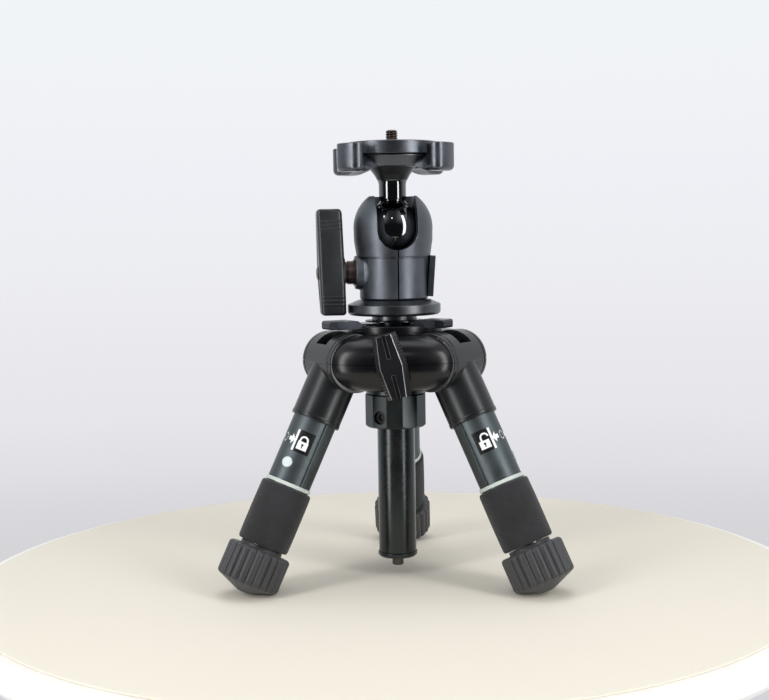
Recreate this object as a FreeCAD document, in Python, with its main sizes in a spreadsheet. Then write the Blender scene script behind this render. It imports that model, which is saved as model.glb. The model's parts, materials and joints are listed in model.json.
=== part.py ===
import FreeCAD, Part
import math
import os

import Sketcher

# Mini tripod with a pan and ball head, millimetres.
# +Z is up, the column's axis is the Z axis and the feet stand on z = 0.
# The rear leg points along +Y, the knob that clamps the column along -Y.

os.makedirs("parts", exist_ok=True)
doc = FreeCAD.newDocument("MiniTripod")
sheet = doc.addObject("Spreadsheet::Sheet", "Sizes")
Vector = FreeCAD.Vector
Rotation = FreeCAD.Rotation
Placement = FreeCAD.Placement


# A number together with the formula that gives it from the sheet
class Size:
    def __init__(self, value, words):
        self.value = float(value)
        self.words = words

    def __add__(self, other):
        other = as_size(other)
        return Size(self.value + other.value, "(%s + %s)" % (self.words, other.words))

    def __sub__(self, other):
        other = as_size(other)
        return Size(self.value - other.value, "(%s - %s)" % (self.words, other.words))

    def __mul__(self, other):
        other = as_size(other)
        return Size(self.value * other.value, "(%s * %s)" % (self.words, other.words))

    def __truediv__(self, other):
        other = as_size(other)
        return Size(self.value / other.value, "(%s / %s)" % (self.words, other.words))

    def __neg__(self):
        return Size(-self.value, "(0 - %s)" % self.words)


def as_size(number):
    if isinstance(number, Size):
        return number
    return Size(number, repr(float(number)))


def cosine(angle):
    angle = as_size(angle)
    return Size(math.cos(math.radians(angle.value)), "cos(%s)" % angle.words)


def sine(angle):
    angle = as_size(angle)
    return Size(math.sin(math.radians(angle.value)), "sin(%s)" % angle.words)


def tangent(angle):
    angle = as_size(angle)
    return Size(math.tan(math.radians(angle.value)), "tan(%s)" % angle.words)


sheet_rows = []


# Writes one driving dimension into the sheet
def size(name, value, formula=None):
    sheet_rows.append(name)
    row = len(sheet_rows)
    sheet.set("A%d" % row, name)
    sheet.set("B%d" % row, formula or str(value))
    sheet.setAlias("B%d" % row, name)
    return Size(value, "Sizes." + name)


# Writes a dimension that follows from others into the sheet
def follows(name, amount):
    return size(name, amount.value, "=" + amount.words.replace("Sizes.", ""))


# Gaps and fits
joint_gap = size("joint_gap", 0.35)
running_gap = size("running_gap", 0.06)
seat_gap = size("seat_gap", 0.03)
slide_gap = size("slide_gap", 0.12)

# Column
column_radius = size("column_radius", 9.85)
column_wall = size("column_wall", 1.4)
column_foot = size("column_foot", 12.5)
column_rise = size("column_rise", 1.35)
plug_radius = size("plug_radius", 10.4)
plug_drop = size("plug_drop", 2.7)
plug_depth = size("plug_depth", 9)
stub_radius = size("stub_radius", 3.0)
stub_drop = size("stub_drop", 5.0)
flange_radius = size("flange_radius", 15.3)
flange_thickness = size("flange_thickness", 0.75)
insert_depth = size("insert_depth", 7)
stud_radius = size("stud_radius", 4.0)
base_neck_radius = size("base_neck_radius", 11.7)
base_neck_height = size("base_neck_height", 2.85)
stud_reach = size("stud_reach", 6)

# Spider, the body that carries the legs
leg_count = 3
hip_height = size("hip_height", 115)
hip_reach = size("hip_reach", 30.6)
hip_half_width = size("hip_half_width", 14.5)
lobe_radius = size("lobe_radius", 14.6)
split_rise = size("split_rise", 0.4)
hub_radius = size("hub_radius", 24.5)
hub_rise = size("hub_rise", 18)
hub_wall = size("hub_wall", 2.98)
lower_hub_radius = size("lower_hub_radius", 17)
sleeve_wall = size("sleeve_wall", 2.1)
sleeve_lip_radius = size("sleeve_lip_radius", 15.3)
sleeve_lip_height = size("sleeve_lip_height", 3.8)
sleeve_headroom = size("sleeve_headroom", 3)
collar_radius = size("collar_radius", 15.7)
collar_height = size("collar_height", 17.0)
collar_gap = size("collar_gap", 0.4)
collar_bevel = size("collar_bevel", 1.0)
collar_sides = 12
port_radius = size("port_radius", 3.5)
port_drop = size("port_drop", 11.2)
port_azimuth = size("port_azimuth", 240)
set_screw_length = size("set_screw_length", 1.8)
shell_screw_radius = size("shell_screw_radius", 1.5)
shell_screw_head = size("shell_screw_head", 2.75)
shell_screw_spread = size("shell_screw_spread", 11.5)
shell_screw_length = size("shell_screw_length", 20)
screw_head_height = size("screw_head_height", 2.4)
screw_recess = size("screw_recess", 1.2)
pin_radius = size("pin_radius", 3)
pin_bite = size("pin_bite", 6)

# Angle lock plates
plate_width = size("plate_width", 16)
plate_inner = size("plate_inner", 18.2)
plate_outer = size("plate_outer", 39.8)
plate_thickness = size("plate_thickness", 4.2)
plate_tongue = size("plate_tongue", 1.6)
plate_ramp_start = size("plate_ramp_start", 3.3)
plate_ramp_length = size("plate_ramp_length", 3.5)
plate_bevel = size("plate_bevel", 1.1)
plate_corner = size("plate_corner", 3.2)
plate_lift = size("plate_lift", 0.2)
plate_floor = size("plate_floor", 16.4)
plate_pushed_in = size("plate_pushed_in", 7.2)

# Clamp knob of the column
wing_length = size("wing_length", 31.5)
wing_middle = size("wing_middle", 11.4)
wing_end = size("wing_end", 7.7)
wing_flare = size("wing_flare", 1.3)
wing_depth = size("wing_depth", 7.4)
wing_face_depth = size("wing_face_depth", 3.6)
wing_clearance = size("wing_clearance", 0.6)
wing_lean = size("wing_lean", 13.5)
wing_slot_width = size("wing_slot_width", 1.5)
wing_slot_length = size("wing_slot_length", 11.5)
wing_slot_depth = size("wing_slot_depth", 0.9)
wing_screw_radius = size("wing_screw_radius", 3)
shoe_radius = size("shoe_radius", 3.4)
shoe_length = size("shoe_length", 6.5)

# Legs, measured along the leg from the point where its axis meets the floor
leg_tilt = size("leg_tilt", 26.58)
leg_offset = size("leg_offset", 1.1)
hip_inner = column_radius + slide_gap + sleeve_wall + hub_wall
barrel_radius = follows("barrel_radius", hip_reach - hip_inner - joint_gap)
tube_radius = size("tube_radius", 11.22)
socket_wall = size("socket_wall", 1.43)
socket_radius = follows("socket_radius", tube_radius + socket_wall)
socket_length = size("socket_length", 33.94)
tube_wall = size("tube_wall", 1.2)
tube_depth = size("tube_depth", 21.5)
tube_groove_radius = size("tube_groove_radius", 0.5)
tube_groove_azimuth = size("tube_groove_azimuth", 97)
notch_width = size("notch_width", 12)
notch_depth = size("notch_depth", 2.2)
notch_start = size("notch_start", 12)
notch_sweep = size("notch_sweep", 66)
notch_tooth_radius = size("notch_tooth_radius", 2.6)
ring_middle = size("ring_middle", 60.6)
ring_height = size("ring_height", 1.4)
ring_thickness = size("ring_thickness", 0.7)
grip_start = size("grip_start", 27.2)
grip_end = size("grip_end", 57.9)
grip_wall = size("grip_wall", 1.98)
grip_radius = follows("grip_radius", tube_radius + grip_wall)
grip_rounding = size("grip_rounding", 1.3)
dot_place = size("dot_place", 70.5)
dot_azimuth = size("dot_azimuth", 39)
dot_radius = size("dot_radius", 2.7)
dot_rise = size("dot_rise", 0.8)
section_wall = size("section_wall", 1.15)
section_start = size("section_start", 28)
section_headroom = size("section_headroom", 0.64)
section_step = size("section_step", 2)
foot_radius = size("foot_radius", 16.3)
foot_cone = size("foot_cone", 22)
foot_tip_radius = size("foot_tip_radius", 3)
foot_top = size("foot_top", 24.9)
foot_rounding = size("foot_rounding", 1.6)
foot_sink = size("foot_sink", 0.25)
foot_neck_radius = size("foot_neck_radius", 9.3)
foot_neck_rise = size("foot_neck_rise", 1.9)
foot_socket_depth = size("foot_socket_depth", 13)
foot_groove_radius = size("foot_groove_radius", 1.0)
foot_groove_depth = size("foot_groove_depth", 0.65)
foot_groove_count = 24

# Head
head_pan = size("head_pan", 10)
base_radius = size("base_radius", 24.3)
base_rim = size("base_rim", 5.45)
base_cone = size("base_cone", 2.3)
base_top_radius = size("base_top_radius", 18.9)
base_edge = size("base_edge", 0.5)
post_radius = size("post_radius", 9)
post_height = size("post_height", 6)
housing_radius = size("housing_radius", 17.8)
housing_skirt = size("housing_skirt", 21.4)
groove_width = size("groove_width", 0.8)
groove_depth = size("groove_depth", 0.6)
shoulder_radius = size("shoulder_radius", 19.5)
shoulder_height = size("shoulder_height", 8)
dome_radius = size("dome_radius", 20.3)
dome_drop = size("dome_drop", 1)
dome_rise = size("dome_rise", 17.4)
ball_radius = size("ball_radius", 14.5)
ball_lift = size("ball_lift", 37.5)
mouth_radius = size("mouth_radius", 10.3)
slot_width = size("slot_width", 20.5)
slot_drop = size("slot_drop", 1.6)
slit_width = size("slit_width", 0.7)
cup_wall = size("cup_wall", 2.2)
cup_drop = size("cup_drop", 12)
cup_space_drop = size("cup_space_drop", 8)
lever_axis_lift = size("lever_axis_lift", 14.1)
lever_boss_radius = size("lever_boss_radius", 8.5)
lever_boss_reach = size("lever_boss_reach", 20.4)
bushing_radius = size("bushing_radius", 6.2)
bushing_length = size("bushing_length", 5.1)
cheek_width = size("cheek_width", 17)
cheek_low = size("cheek_low", 19.6)
cheek_high = size("cheek_high", 21.9)
cheek_drop = size("cheek_drop", 13)
cheek_rise = size("cheek_rise", 9.4)
cheek_root = size("cheek_root", 12)
lock_screw_radius = size("lock_screw_radius", 3)
lock_screw_end = size("lock_screw_end", 17.5)
lever_gap = size("lever_gap", 1.9)
lever_thickness = size("lever_thickness", 11.6)
lever_up = size("lever_up", 33)
lever_down = size("lever_down", 22)
lever_middle = size("lever_middle", 17)
lever_end = size("lever_end", 10.5)
lever_waist_up = size("lever_waist_up", 5)
lever_waist_down = size("lever_waist_down", 6)
lever_hub_radius = size("lever_hub_radius", 7.6)
cap_radius = size("cap_radius", 3.6)
cap_height = size("cap_height", 1.5)

# Camera platform
stem_radius = size("stem_radius", 7.1)
stem_length = size("stem_length", 23.5)
flare_height = size("flare_height", 5.6)
flare_bend_height = size("flare_bend_height", 3.1)
flare_bend_radius = size("flare_bend_radius", 9.4)
flare_radius = size("flare_radius", 14.6)
stem_top_height = size("stem_top_height", 7.2)
disc_radius = size("disc_radius", 24.6)
disc_thickness = size("disc_thickness", 5.8)
disc_edge = size("disc_edge", 0.8)
pad_radius = size("pad_radius", 22.5)
pad_thickness = size("pad_thickness", 0.9)
wheel_neck_radius = size("wheel_neck_radius", 20)
wheel_shoulder_radius = size("wheel_shoulder_radius", 23.4)
wheel_reach = size("wheel_reach", 38.3)
wheel_tip_radius = size("wheel_tip_radius", 8.5)
wheel_arm_width = size("wheel_arm_width", 14.8)
wheel_arm_root = size("wheel_arm_root", 11.4)
wheel_arm_waist = size("wheel_arm_waist", 9.8)
wheel_waist_radius = size("wheel_waist_radius", 26.5)
wheel_flare_radius = size("wheel_flare_radius", 34)
wheel_arm_heel = size("wheel_arm_heel", 1.6)
wheel_ledge = size("wheel_ledge", 1.7)
wheel_drop = size("wheel_drop", 2.7)
wheel_web = size("wheel_web", 6.3)
wheel_azimuth = size("wheel_azimuth", 52)
wheel_shrink = size("wheel_shrink", 1.3)
wheel_arms = 4
wheel_bevel = size("wheel_bevel", 2.4)
screw_radius = size("screw_radius", 3.175)
screw_rise = size("screw_rise", 6.5)
screw_root = size("screw_root", 12)
screw_root_radius = size("screw_root_radius", 3.6)
screw_collar_rise = size("screw_collar_rise", 1.0)

doc.recompute()

# Places that several pieces share
hip_up = (hip_height + leg_offset * sine(leg_tilt)) / cosine(leg_tilt)
split_height = hip_height + split_rise
sleeve_bore = column_radius + slide_gap
sleeve_radius = sleeve_bore + sleeve_wall
sleeve_top = hip_height + hub_rise - sleeve_headroom
shell_bottom = hip_height - lobe_radius
hub_top = hip_height + hub_rise
column_head = hub_top + column_rise
collar_top = shell_bottom - sleeve_lip_height - collar_gap
collar_bottom = collar_top - collar_height
hip_to_lobe = 180 / leg_count
lobe_distance = hip_reach * cosine(hip_to_lobe) + hip_half_width * sine(hip_to_lobe)
lobe_half_length = hip_reach * sine(hip_to_lobe) - hip_half_width * cosine(hip_to_lobe)
slot_floor = hip_height + plate_floor
plate_bottom = slot_floor + plate_lift
flange_top = column_head + flange_thickness
base_bottom = flange_top + base_neck_height
base_top = base_bottom + base_rim + base_cone
housing_bottom = base_top + joint_gap
skirt_top = housing_bottom + housing_skirt
ball_height = housing_bottom + ball_lift
dome_height = ball_height - dome_drop
dome_top = dome_height + dome_rise
lever_height = housing_bottom + lever_axis_lift
stem_top = ball_height + stem_length + flare_height + stem_top_height
disc_bottom = stem_top + joint_gap
disc_top = disc_bottom + disc_thickness
pad_top = disc_top + pad_thickness
notch_angles = (68, 45, 22)

origin_turn = Rotation()
leg_azimuths = {"rear": 90, "left": 210, "right": 330}
lobe_azimuths = {"front": 270, "right": 30, "left": 150}
nodes = []


# Binds a property of an object to a formula
def bind(item, prop, amount):
    item.setExpression(prop, as_size(amount).words)


# Places an object at a point whose coordinates follow the sheet
def place(item, x, y, z, turn=origin_turn):
    point = [as_size(x), as_size(y), as_size(z)]
    item.Placement = Placement(Vector(*[part.value for part in point]), turn)
    for axis, part in zip("xyz", point):
        bind(item, "Placement.Base." + axis, part)
    return item


def cylinder(name, radius, height, x=0, y=0, z=0, turn=origin_turn):
    item = doc.addObject("Part::Cylinder", name)
    bind(item, "Radius", radius)
    bind(item, "Height", height)
    return place(item, x, y, z, turn)


def box(name, length, width, height, x=0, y=0, z=0, turn=origin_turn):
    item = doc.addObject("Part::Box", name)
    bind(item, "Length", length)
    bind(item, "Width", width)
    bind(item, "Height", height)
    return place(item, x, y, z, turn)


def sphere(name, radius, x=0, y=0, z=0):
    item = doc.addObject("Part::Sphere", name)
    bind(item, "Radius", radius)
    return place(item, x, y, z)


def joined(name, pieces):
    item = doc.addObject("Part::MultiFuse", name)
    item.Shapes = pieces
    item.Refine = True
    return item


def cut(name, base, tools):
    tool = tools[0]
    if len(tools) > 1:
        tool = doc.addObject("Part::MultiFuse", name + "_tools")
        tool.Shapes = tools
    item = doc.addObject("Part::Cut", name)
    item.Base = base
    item.Tool = tool
    item.Refine = True
    return item


def shared(name, first, second):
    item = doc.addObject("Part::Common", name)
    item.Base = first
    item.Tool = second
    return item


# Draws a closed outline whose corners follow the sheet
def outline(body, name, plane_role, corners):
    sketch = body.newObject("Sketcher::SketchObject", name)
    plane = [item for item in body.Origin.OriginFeatures if item.Role == plane_role][0]
    sketch.AttachmentSupport = [(plane, "")]
    sketch.MapMode = "FlatFace"
    corners = [(as_size(x), as_size(y)) for x, y in corners]
    count = len(corners)
    for index in range(count):
        first = corners[index]
        second = corners[(index + 1) % count]
        start = Vector(first[0].value, first[1].value, 0)
        end = Vector(second[0].value, second[1].value, 0)
        sketch.addGeometry(Part.LineSegment(start, end), False)
    for index in range(count):
        sketch.addConstraint(Sketcher.Constraint("Coincident", index, 2, (index + 1) % count, 1))
    for index, (x, y) in enumerate(corners):
        for kind, axis, amount in (("DistanceX", -2, x), ("DistanceY", -1, y)):
            if abs(amount.value) < 1e-9:
                sketch.addConstraint(Sketcher.Constraint("PointOnObject", index, 1, axis))
            else:
                made = sketch.addConstraint(Sketcher.Constraint(kind, -1, 1, index, 1, amount.value))
                sketch.setExpression("Constraints[%d]" % made, amount.words)
    return sketch


# A body turned about its own Z axis from corners given as radius and height
def turned(name, corners):
    body = doc.addObject("PartDesign::Body", name)
    sketch = outline(body, name + "_outline", "XZ_Plane", corners)
    turn = body.newObject("PartDesign::Revolution", name + "_turn")
    turn.Profile = sketch
    turn.ReferenceAxis = (sketch, ["V_Axis"])
    turn.Angle = 360
    return body


# A body of even depth on an outline; it grows along +Z from the XY plane or along -Y from the XZ plane
def padded(name, corners, depth, plane_role="XY_Plane"):
    body = doc.addObject("PartDesign::Body", name)
    sketch = outline(body, name + "_outline", plane_role, corners)
    pad = body.newObject("PartDesign::Pad", name + "_pad")
    pad.Profile = sketch
    bind(pad, "Length", depth)
    return body


# Marks an object as a piece that is written to its own file
def node(item, name):
    item.Label = name
    nodes.append(item)
    return item


# Turn that lays an object's Z axis along the given direction
def facing(x, y, z):
    return Rotation(Vector(0, 0, 1), Vector(x, y, z))


# Spider: three round lobes between the hips, split into two shells about a hub
lobes = []
hip_spaces = []
screw_holes = []
screws = []
for side, azimuth in lobe_azimuths.items():
    middle_x = lobe_distance * cosine(azimuth)
    middle_y = lobe_distance * sine(azimuth)
    along_x = cosine(azimuth + 90)
    along_y = sine(azimuth + 90)
    first_x = middle_x - along_x * lobe_half_length
    first_y = middle_y - along_y * lobe_half_length
    last_x = middle_x + along_x * lobe_half_length
    last_y = middle_y + along_y * lobe_half_length
    lay = facing(along_x.value, along_y.value, 0)
    lobes.append(joined("lobe_" + side, [
        cylinder("lobe_rod_" + side, lobe_radius, lobe_half_length * 2, first_x, first_y, hip_height, lay),
        sphere("lobe_first_" + side, lobe_radius, first_x, first_y, hip_height),
        sphere("lobe_last_" + side, lobe_radius, last_x, last_y, hip_height)]))
    for number, sign in enumerate((-1, 1)):
        x = middle_x + along_x * shell_screw_spread * sign
        y = middle_y + along_y * shell_screw_spread * sign
        name = "shell_screw_%s_%d" % (side, number + 1)
        head_bottom = shell_bottom + screw_recess
        shank_length = screw_head_height + shell_screw_length
        screws.append(cylinder(name + "_head", shell_screw_head, screw_head_height, x, y, head_bottom))
        screws.append(cylinder(name + "_shank", shell_screw_radius, shank_length, x, y, head_bottom))
        screw_holes.append(cylinder(name + "_well", shell_screw_head + seat_gap, screw_head_height + screw_recess * 3,
                                    x, y, shell_bottom - screw_recess * 2))
        screw_holes.append(cylinder(name + "_hole", shell_screw_radius + seat_gap, shank_length + seat_gap,
                                    x, y, head_bottom))

pins = []
pin_holes = []
slots = []
hip_clear = barrel_radius + joint_gap
for side, azimuth in leg_azimuths.items():
    out_x = cosine(azimuth)
    out_y = sine(azimuth)
    side_x = cosine(azimuth + 90)
    side_y = sine(azimuth + 90)
    hip_x = hip_reach * out_x
    hip_y = hip_reach * out_y
    lay = facing(side_x.value, side_y.value, 0)
    level = Rotation(Vector(0, 0, 1), azimuth)
    hip_spaces.append(cylinder("hip_space_" + side, hip_clear, hip_half_width * 2, hip_x - side_x * hip_half_width,
                               hip_y - side_y * hip_half_width, hip_height, lay))
    hip_spaces.append(box("hip_well_" + side, hip_clear * 2.5, hip_half_width * 2, hip_clear * 1.5,
                          hip_x - out_x * hip_clear - side_x * hip_half_width,
                          hip_y - out_y * hip_clear - side_y * hip_half_width,
                          hip_height - hip_clear * 1.5, level))
    half_pin = hip_half_width + pin_bite
    pins.append(cylinder("hip_pin_" + side, pin_radius, half_pin * 2, hip_x - side_x * half_pin,
                         hip_y - side_y * half_pin, hip_height, lay))
    pin_holes.append(cylinder("hip_pin_hole_" + side, pin_radius + seat_gap, (half_pin + seat_gap) * 2,
                              hip_x - side_x * (half_pin + seat_gap), hip_y - side_y * (half_pin + seat_gap),
                              hip_height, lay))
    half_slot = plate_width / 2 + plate_lift
    slot_start = plate_inner - plate_pushed_in - joint_gap
    slots.append(box("plate_slot_" + side, hub_radius, half_slot * 2, hub_rise,
                     out_x * slot_start - side_x * half_slot, out_y * slot_start - side_y * half_slot,
                     slot_floor, level))

# Clamp of the column inside the front lobe
front = facing(0, -1, 0)
wing_back = lobe_distance + lobe_radius + wing_clearance
wing_front = wing_back + wing_depth
shoe_inner = sleeve_bore
shoe_outer = shoe_inner + shoe_length
wing_screw_inner = shoe_outer + joint_gap
shoe_hole = cylinder("shoe_hole", shoe_radius + seat_gap, shoe_length + joint_gap * 3, 0, joint_gap * 2 - shoe_inner,
                     hip_height, front)
wing_hole = cylinder("wing_hole", wing_screw_radius + running_gap, wing_back - shoe_outer, 0, -shoe_outer,
                     hip_height, front)

big = hub_radius * 3
upper_space = box("upper_space", big * 2, big * 2, big, -big, -big, split_height)
lower_space = box("lower_space", big * 2, big * 2, big, -big, -big, split_height - big)
sleeve_hole = cylinder("sleeve_hole", sleeve_radius + seat_gap, big, 0, 0, shell_bottom - joint_gap)
upper_hub = cylinder("upper_hub", hub_radius, hub_top - hip_height, 0, 0, hip_height)
lower_hub = cylinder("lower_hub", lower_hub_radius, lobe_radius * 2, 0, 0, shell_bottom)
spider_holes = hip_spaces + screw_holes + pin_holes + [sleeve_hole, shoe_hole, wing_hole]

upper_body = joined("upper_body", lobes + [upper_hub])
upper_half = shared("upper_half", upper_body, upper_space)
node(cut("upper_shell", upper_half, spider_holes + slots), "upper_shell")
lower_body = joined("lower_body", lobes + [lower_hub])
lower_half = shared("lower_half", lower_body, lower_space)
node(cut("lower_shell", lower_half, spider_holes), "lower_shell")

shell_screws = joined("shell_screws", screws)
node(shell_screws, "shell_screws")
hip_pins = doc.addObject("Part::Compound", "hip_pins")
hip_pins.Links = pins
node(hip_pins, "hip_pins")

# Sleeve that guides the column, with the twelve sided collar below the spider
sleeve_body = turned("sleeve_body", [
    (sleeve_bore, collar_bottom),
    (sleeve_radius, collar_bottom),
    (sleeve_radius, shell_bottom - sleeve_lip_height),
    (sleeve_lip_radius, shell_bottom - sleeve_lip_height),
    (sleeve_lip_radius, shell_bottom),
    (sleeve_radius, shell_bottom),
    (sleeve_radius, sleeve_top),
    (sleeve_bore, sleeve_top)])
node(cut("column_sleeve", sleeve_body, [shoe_hole]), "column_sleeve")

collar_block = doc.addObject("Part::Prism", "collar_block")
collar_block.Polygon = collar_sides
bind(collar_block, "Circumradius", collar_radius / cosine(180 / collar_sides))
bind(collar_block, "Height", collar_height)
place(collar_block, 0, 0, collar_bottom, Rotation(Vector(0, 0, 1), 180 / collar_sides))
collar_round = turned("collar_round", [
    (sleeve_radius + seat_gap, collar_bottom),
    (collar_radius - collar_bevel, collar_bottom),
    (collar_radius + collar_bevel, collar_bottom + collar_bevel * 2),
    (collar_radius + collar_bevel, collar_top),
    (sleeve_radius + seat_gap, collar_top)])
collar_shape = shared("collar_shape", collar_block, collar_round)
port_x = cosine(port_azimuth)
port_y = sine(port_azimuth)
port_height = collar_top - port_drop
port_turn = facing(port_x.value, port_y.value, 0)
port = cylinder("port", port_radius, collar_radius, port_x * sleeve_radius, port_y * sleeve_radius, port_height,
                port_turn)
node(cut("sleeve_collar", collar_shape, [port]), "sleeve_collar")
set_screw_start = sleeve_radius + seat_gap * 2
node(cylinder("collar_screw", port_radius - seat_gap, set_screw_length, port_x * set_screw_start,
              port_y * set_screw_start, port_height, port_turn), "collar_screw")

# Shoe that the clamp screw presses on the column
shoe_rod = cylinder("shoe_rod", shoe_radius, shoe_length + joint_gap, 0, joint_gap - shoe_inner, hip_height, front)
shoe_hollow = cylinder("shoe_hollow", sleeve_bore, big, 0, 0, hip_height - big / 2)
node(cut("clamp_shoe", shoe_rod, [shoe_hollow]), "clamp_shoe")


# Outline of the clamp knob, its length along the second axis
def wing_outline(extra):
    half = wing_length / 2 + extra
    middle = wing_middle / 2 + extra
    end = wing_end / 2 + extra
    return [(-end, -half), (end, -half), (middle, 0), (end, half), (-end, half), (-middle, 0)]


# Clamp knob in front of the spider; its bodies grow along -Y
wing_base_depth = wing_depth - wing_face_depth
wing_turn = Rotation(Vector(0, 1, 0), -wing_lean.value)
wing_base = padded("wing_base", wing_outline(wing_flare), wing_base_depth, "XZ_Plane")
wing_face = padded("wing_face", wing_outline(0), wing_face_depth, "XZ_Plane")
place(wing_face, 0, -wing_base_depth, 0)
wing_blank = joined("wing_blank", [wing_base, wing_face])
wing_cuts = []
for number, start in enumerate((wing_length / 2 - wing_slot_length, -wing_length / 2)):
    wing_cuts.append(box("wing_slot_%d" % (number + 1), wing_slot_width, wing_slot_depth * 2, wing_slot_length,
                         -wing_slot_width / 2, -wing_depth - wing_slot_depth, start))
screw_seat = wing_depth - wing_slot_depth * 2
wing_cuts.append(cylinder("wing_bore", wing_screw_radius + seat_gap, screw_seat + seat_gap, 0, 0, 0, front))
wing_knob = node(cut("wing_knob", wing_blank, wing_cuts), "wing_knob")
place(wing_knob, 0, -wing_back, hip_height, wing_turn)
node(cylinder("wing_screw", wing_screw_radius, wing_back + screw_seat - wing_screw_inner, 0, -wing_screw_inner,
              hip_height, front), "wing_screw")

# Angle lock plates that slide in the hub above the hips; the right one is pushed in
plate_travel = {"rear": Size(0, "0"), "left": Size(0, "0"), "right": plate_pushed_in}
for side, azimuth in leg_azimuths.items():
    half = plate_width / 2
    tongue = half - plate_corner
    plate_blank = padded("plate_blank_" + side, [
        (plate_inner, -tongue),
        (plate_inner + plate_corner, -half),
        (plate_outer - plate_corner, -half),
        (plate_outer, -tongue),
        (plate_outer, tongue),
        (plate_outer - plate_corner, half),
        (plate_inner + plate_corner, half),
        (plate_inner, tongue)], plate_thickness)
    plate_profile = padded("plate_profile_" + side, [
        (plate_inner, 0),
        (plate_outer - plate_bevel, 0),
        (plate_outer, plate_bevel),
        (plate_outer, plate_thickness - plate_bevel),
        (plate_outer - plate_bevel, plate_thickness),
        (plate_inner + plate_ramp_start + plate_ramp_length, plate_thickness),
        (plate_inner + plate_ramp_start, plate_tongue),
        (plate_inner, plate_tongue)], plate_width, "XZ_Plane")
    place(plate_profile, 0, half, 0)
    plate = node(shared("lock_plate_" + side, plate_blank, plate_profile), "lock_plate_" + side)
    level = Rotation(Vector(0, 0, 1), azimuth)
    travel = plate_travel[side]
    place(plate, cosine(azimuth) * -travel, sine(azimuth) * -travel, plate_bottom, level)

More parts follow.
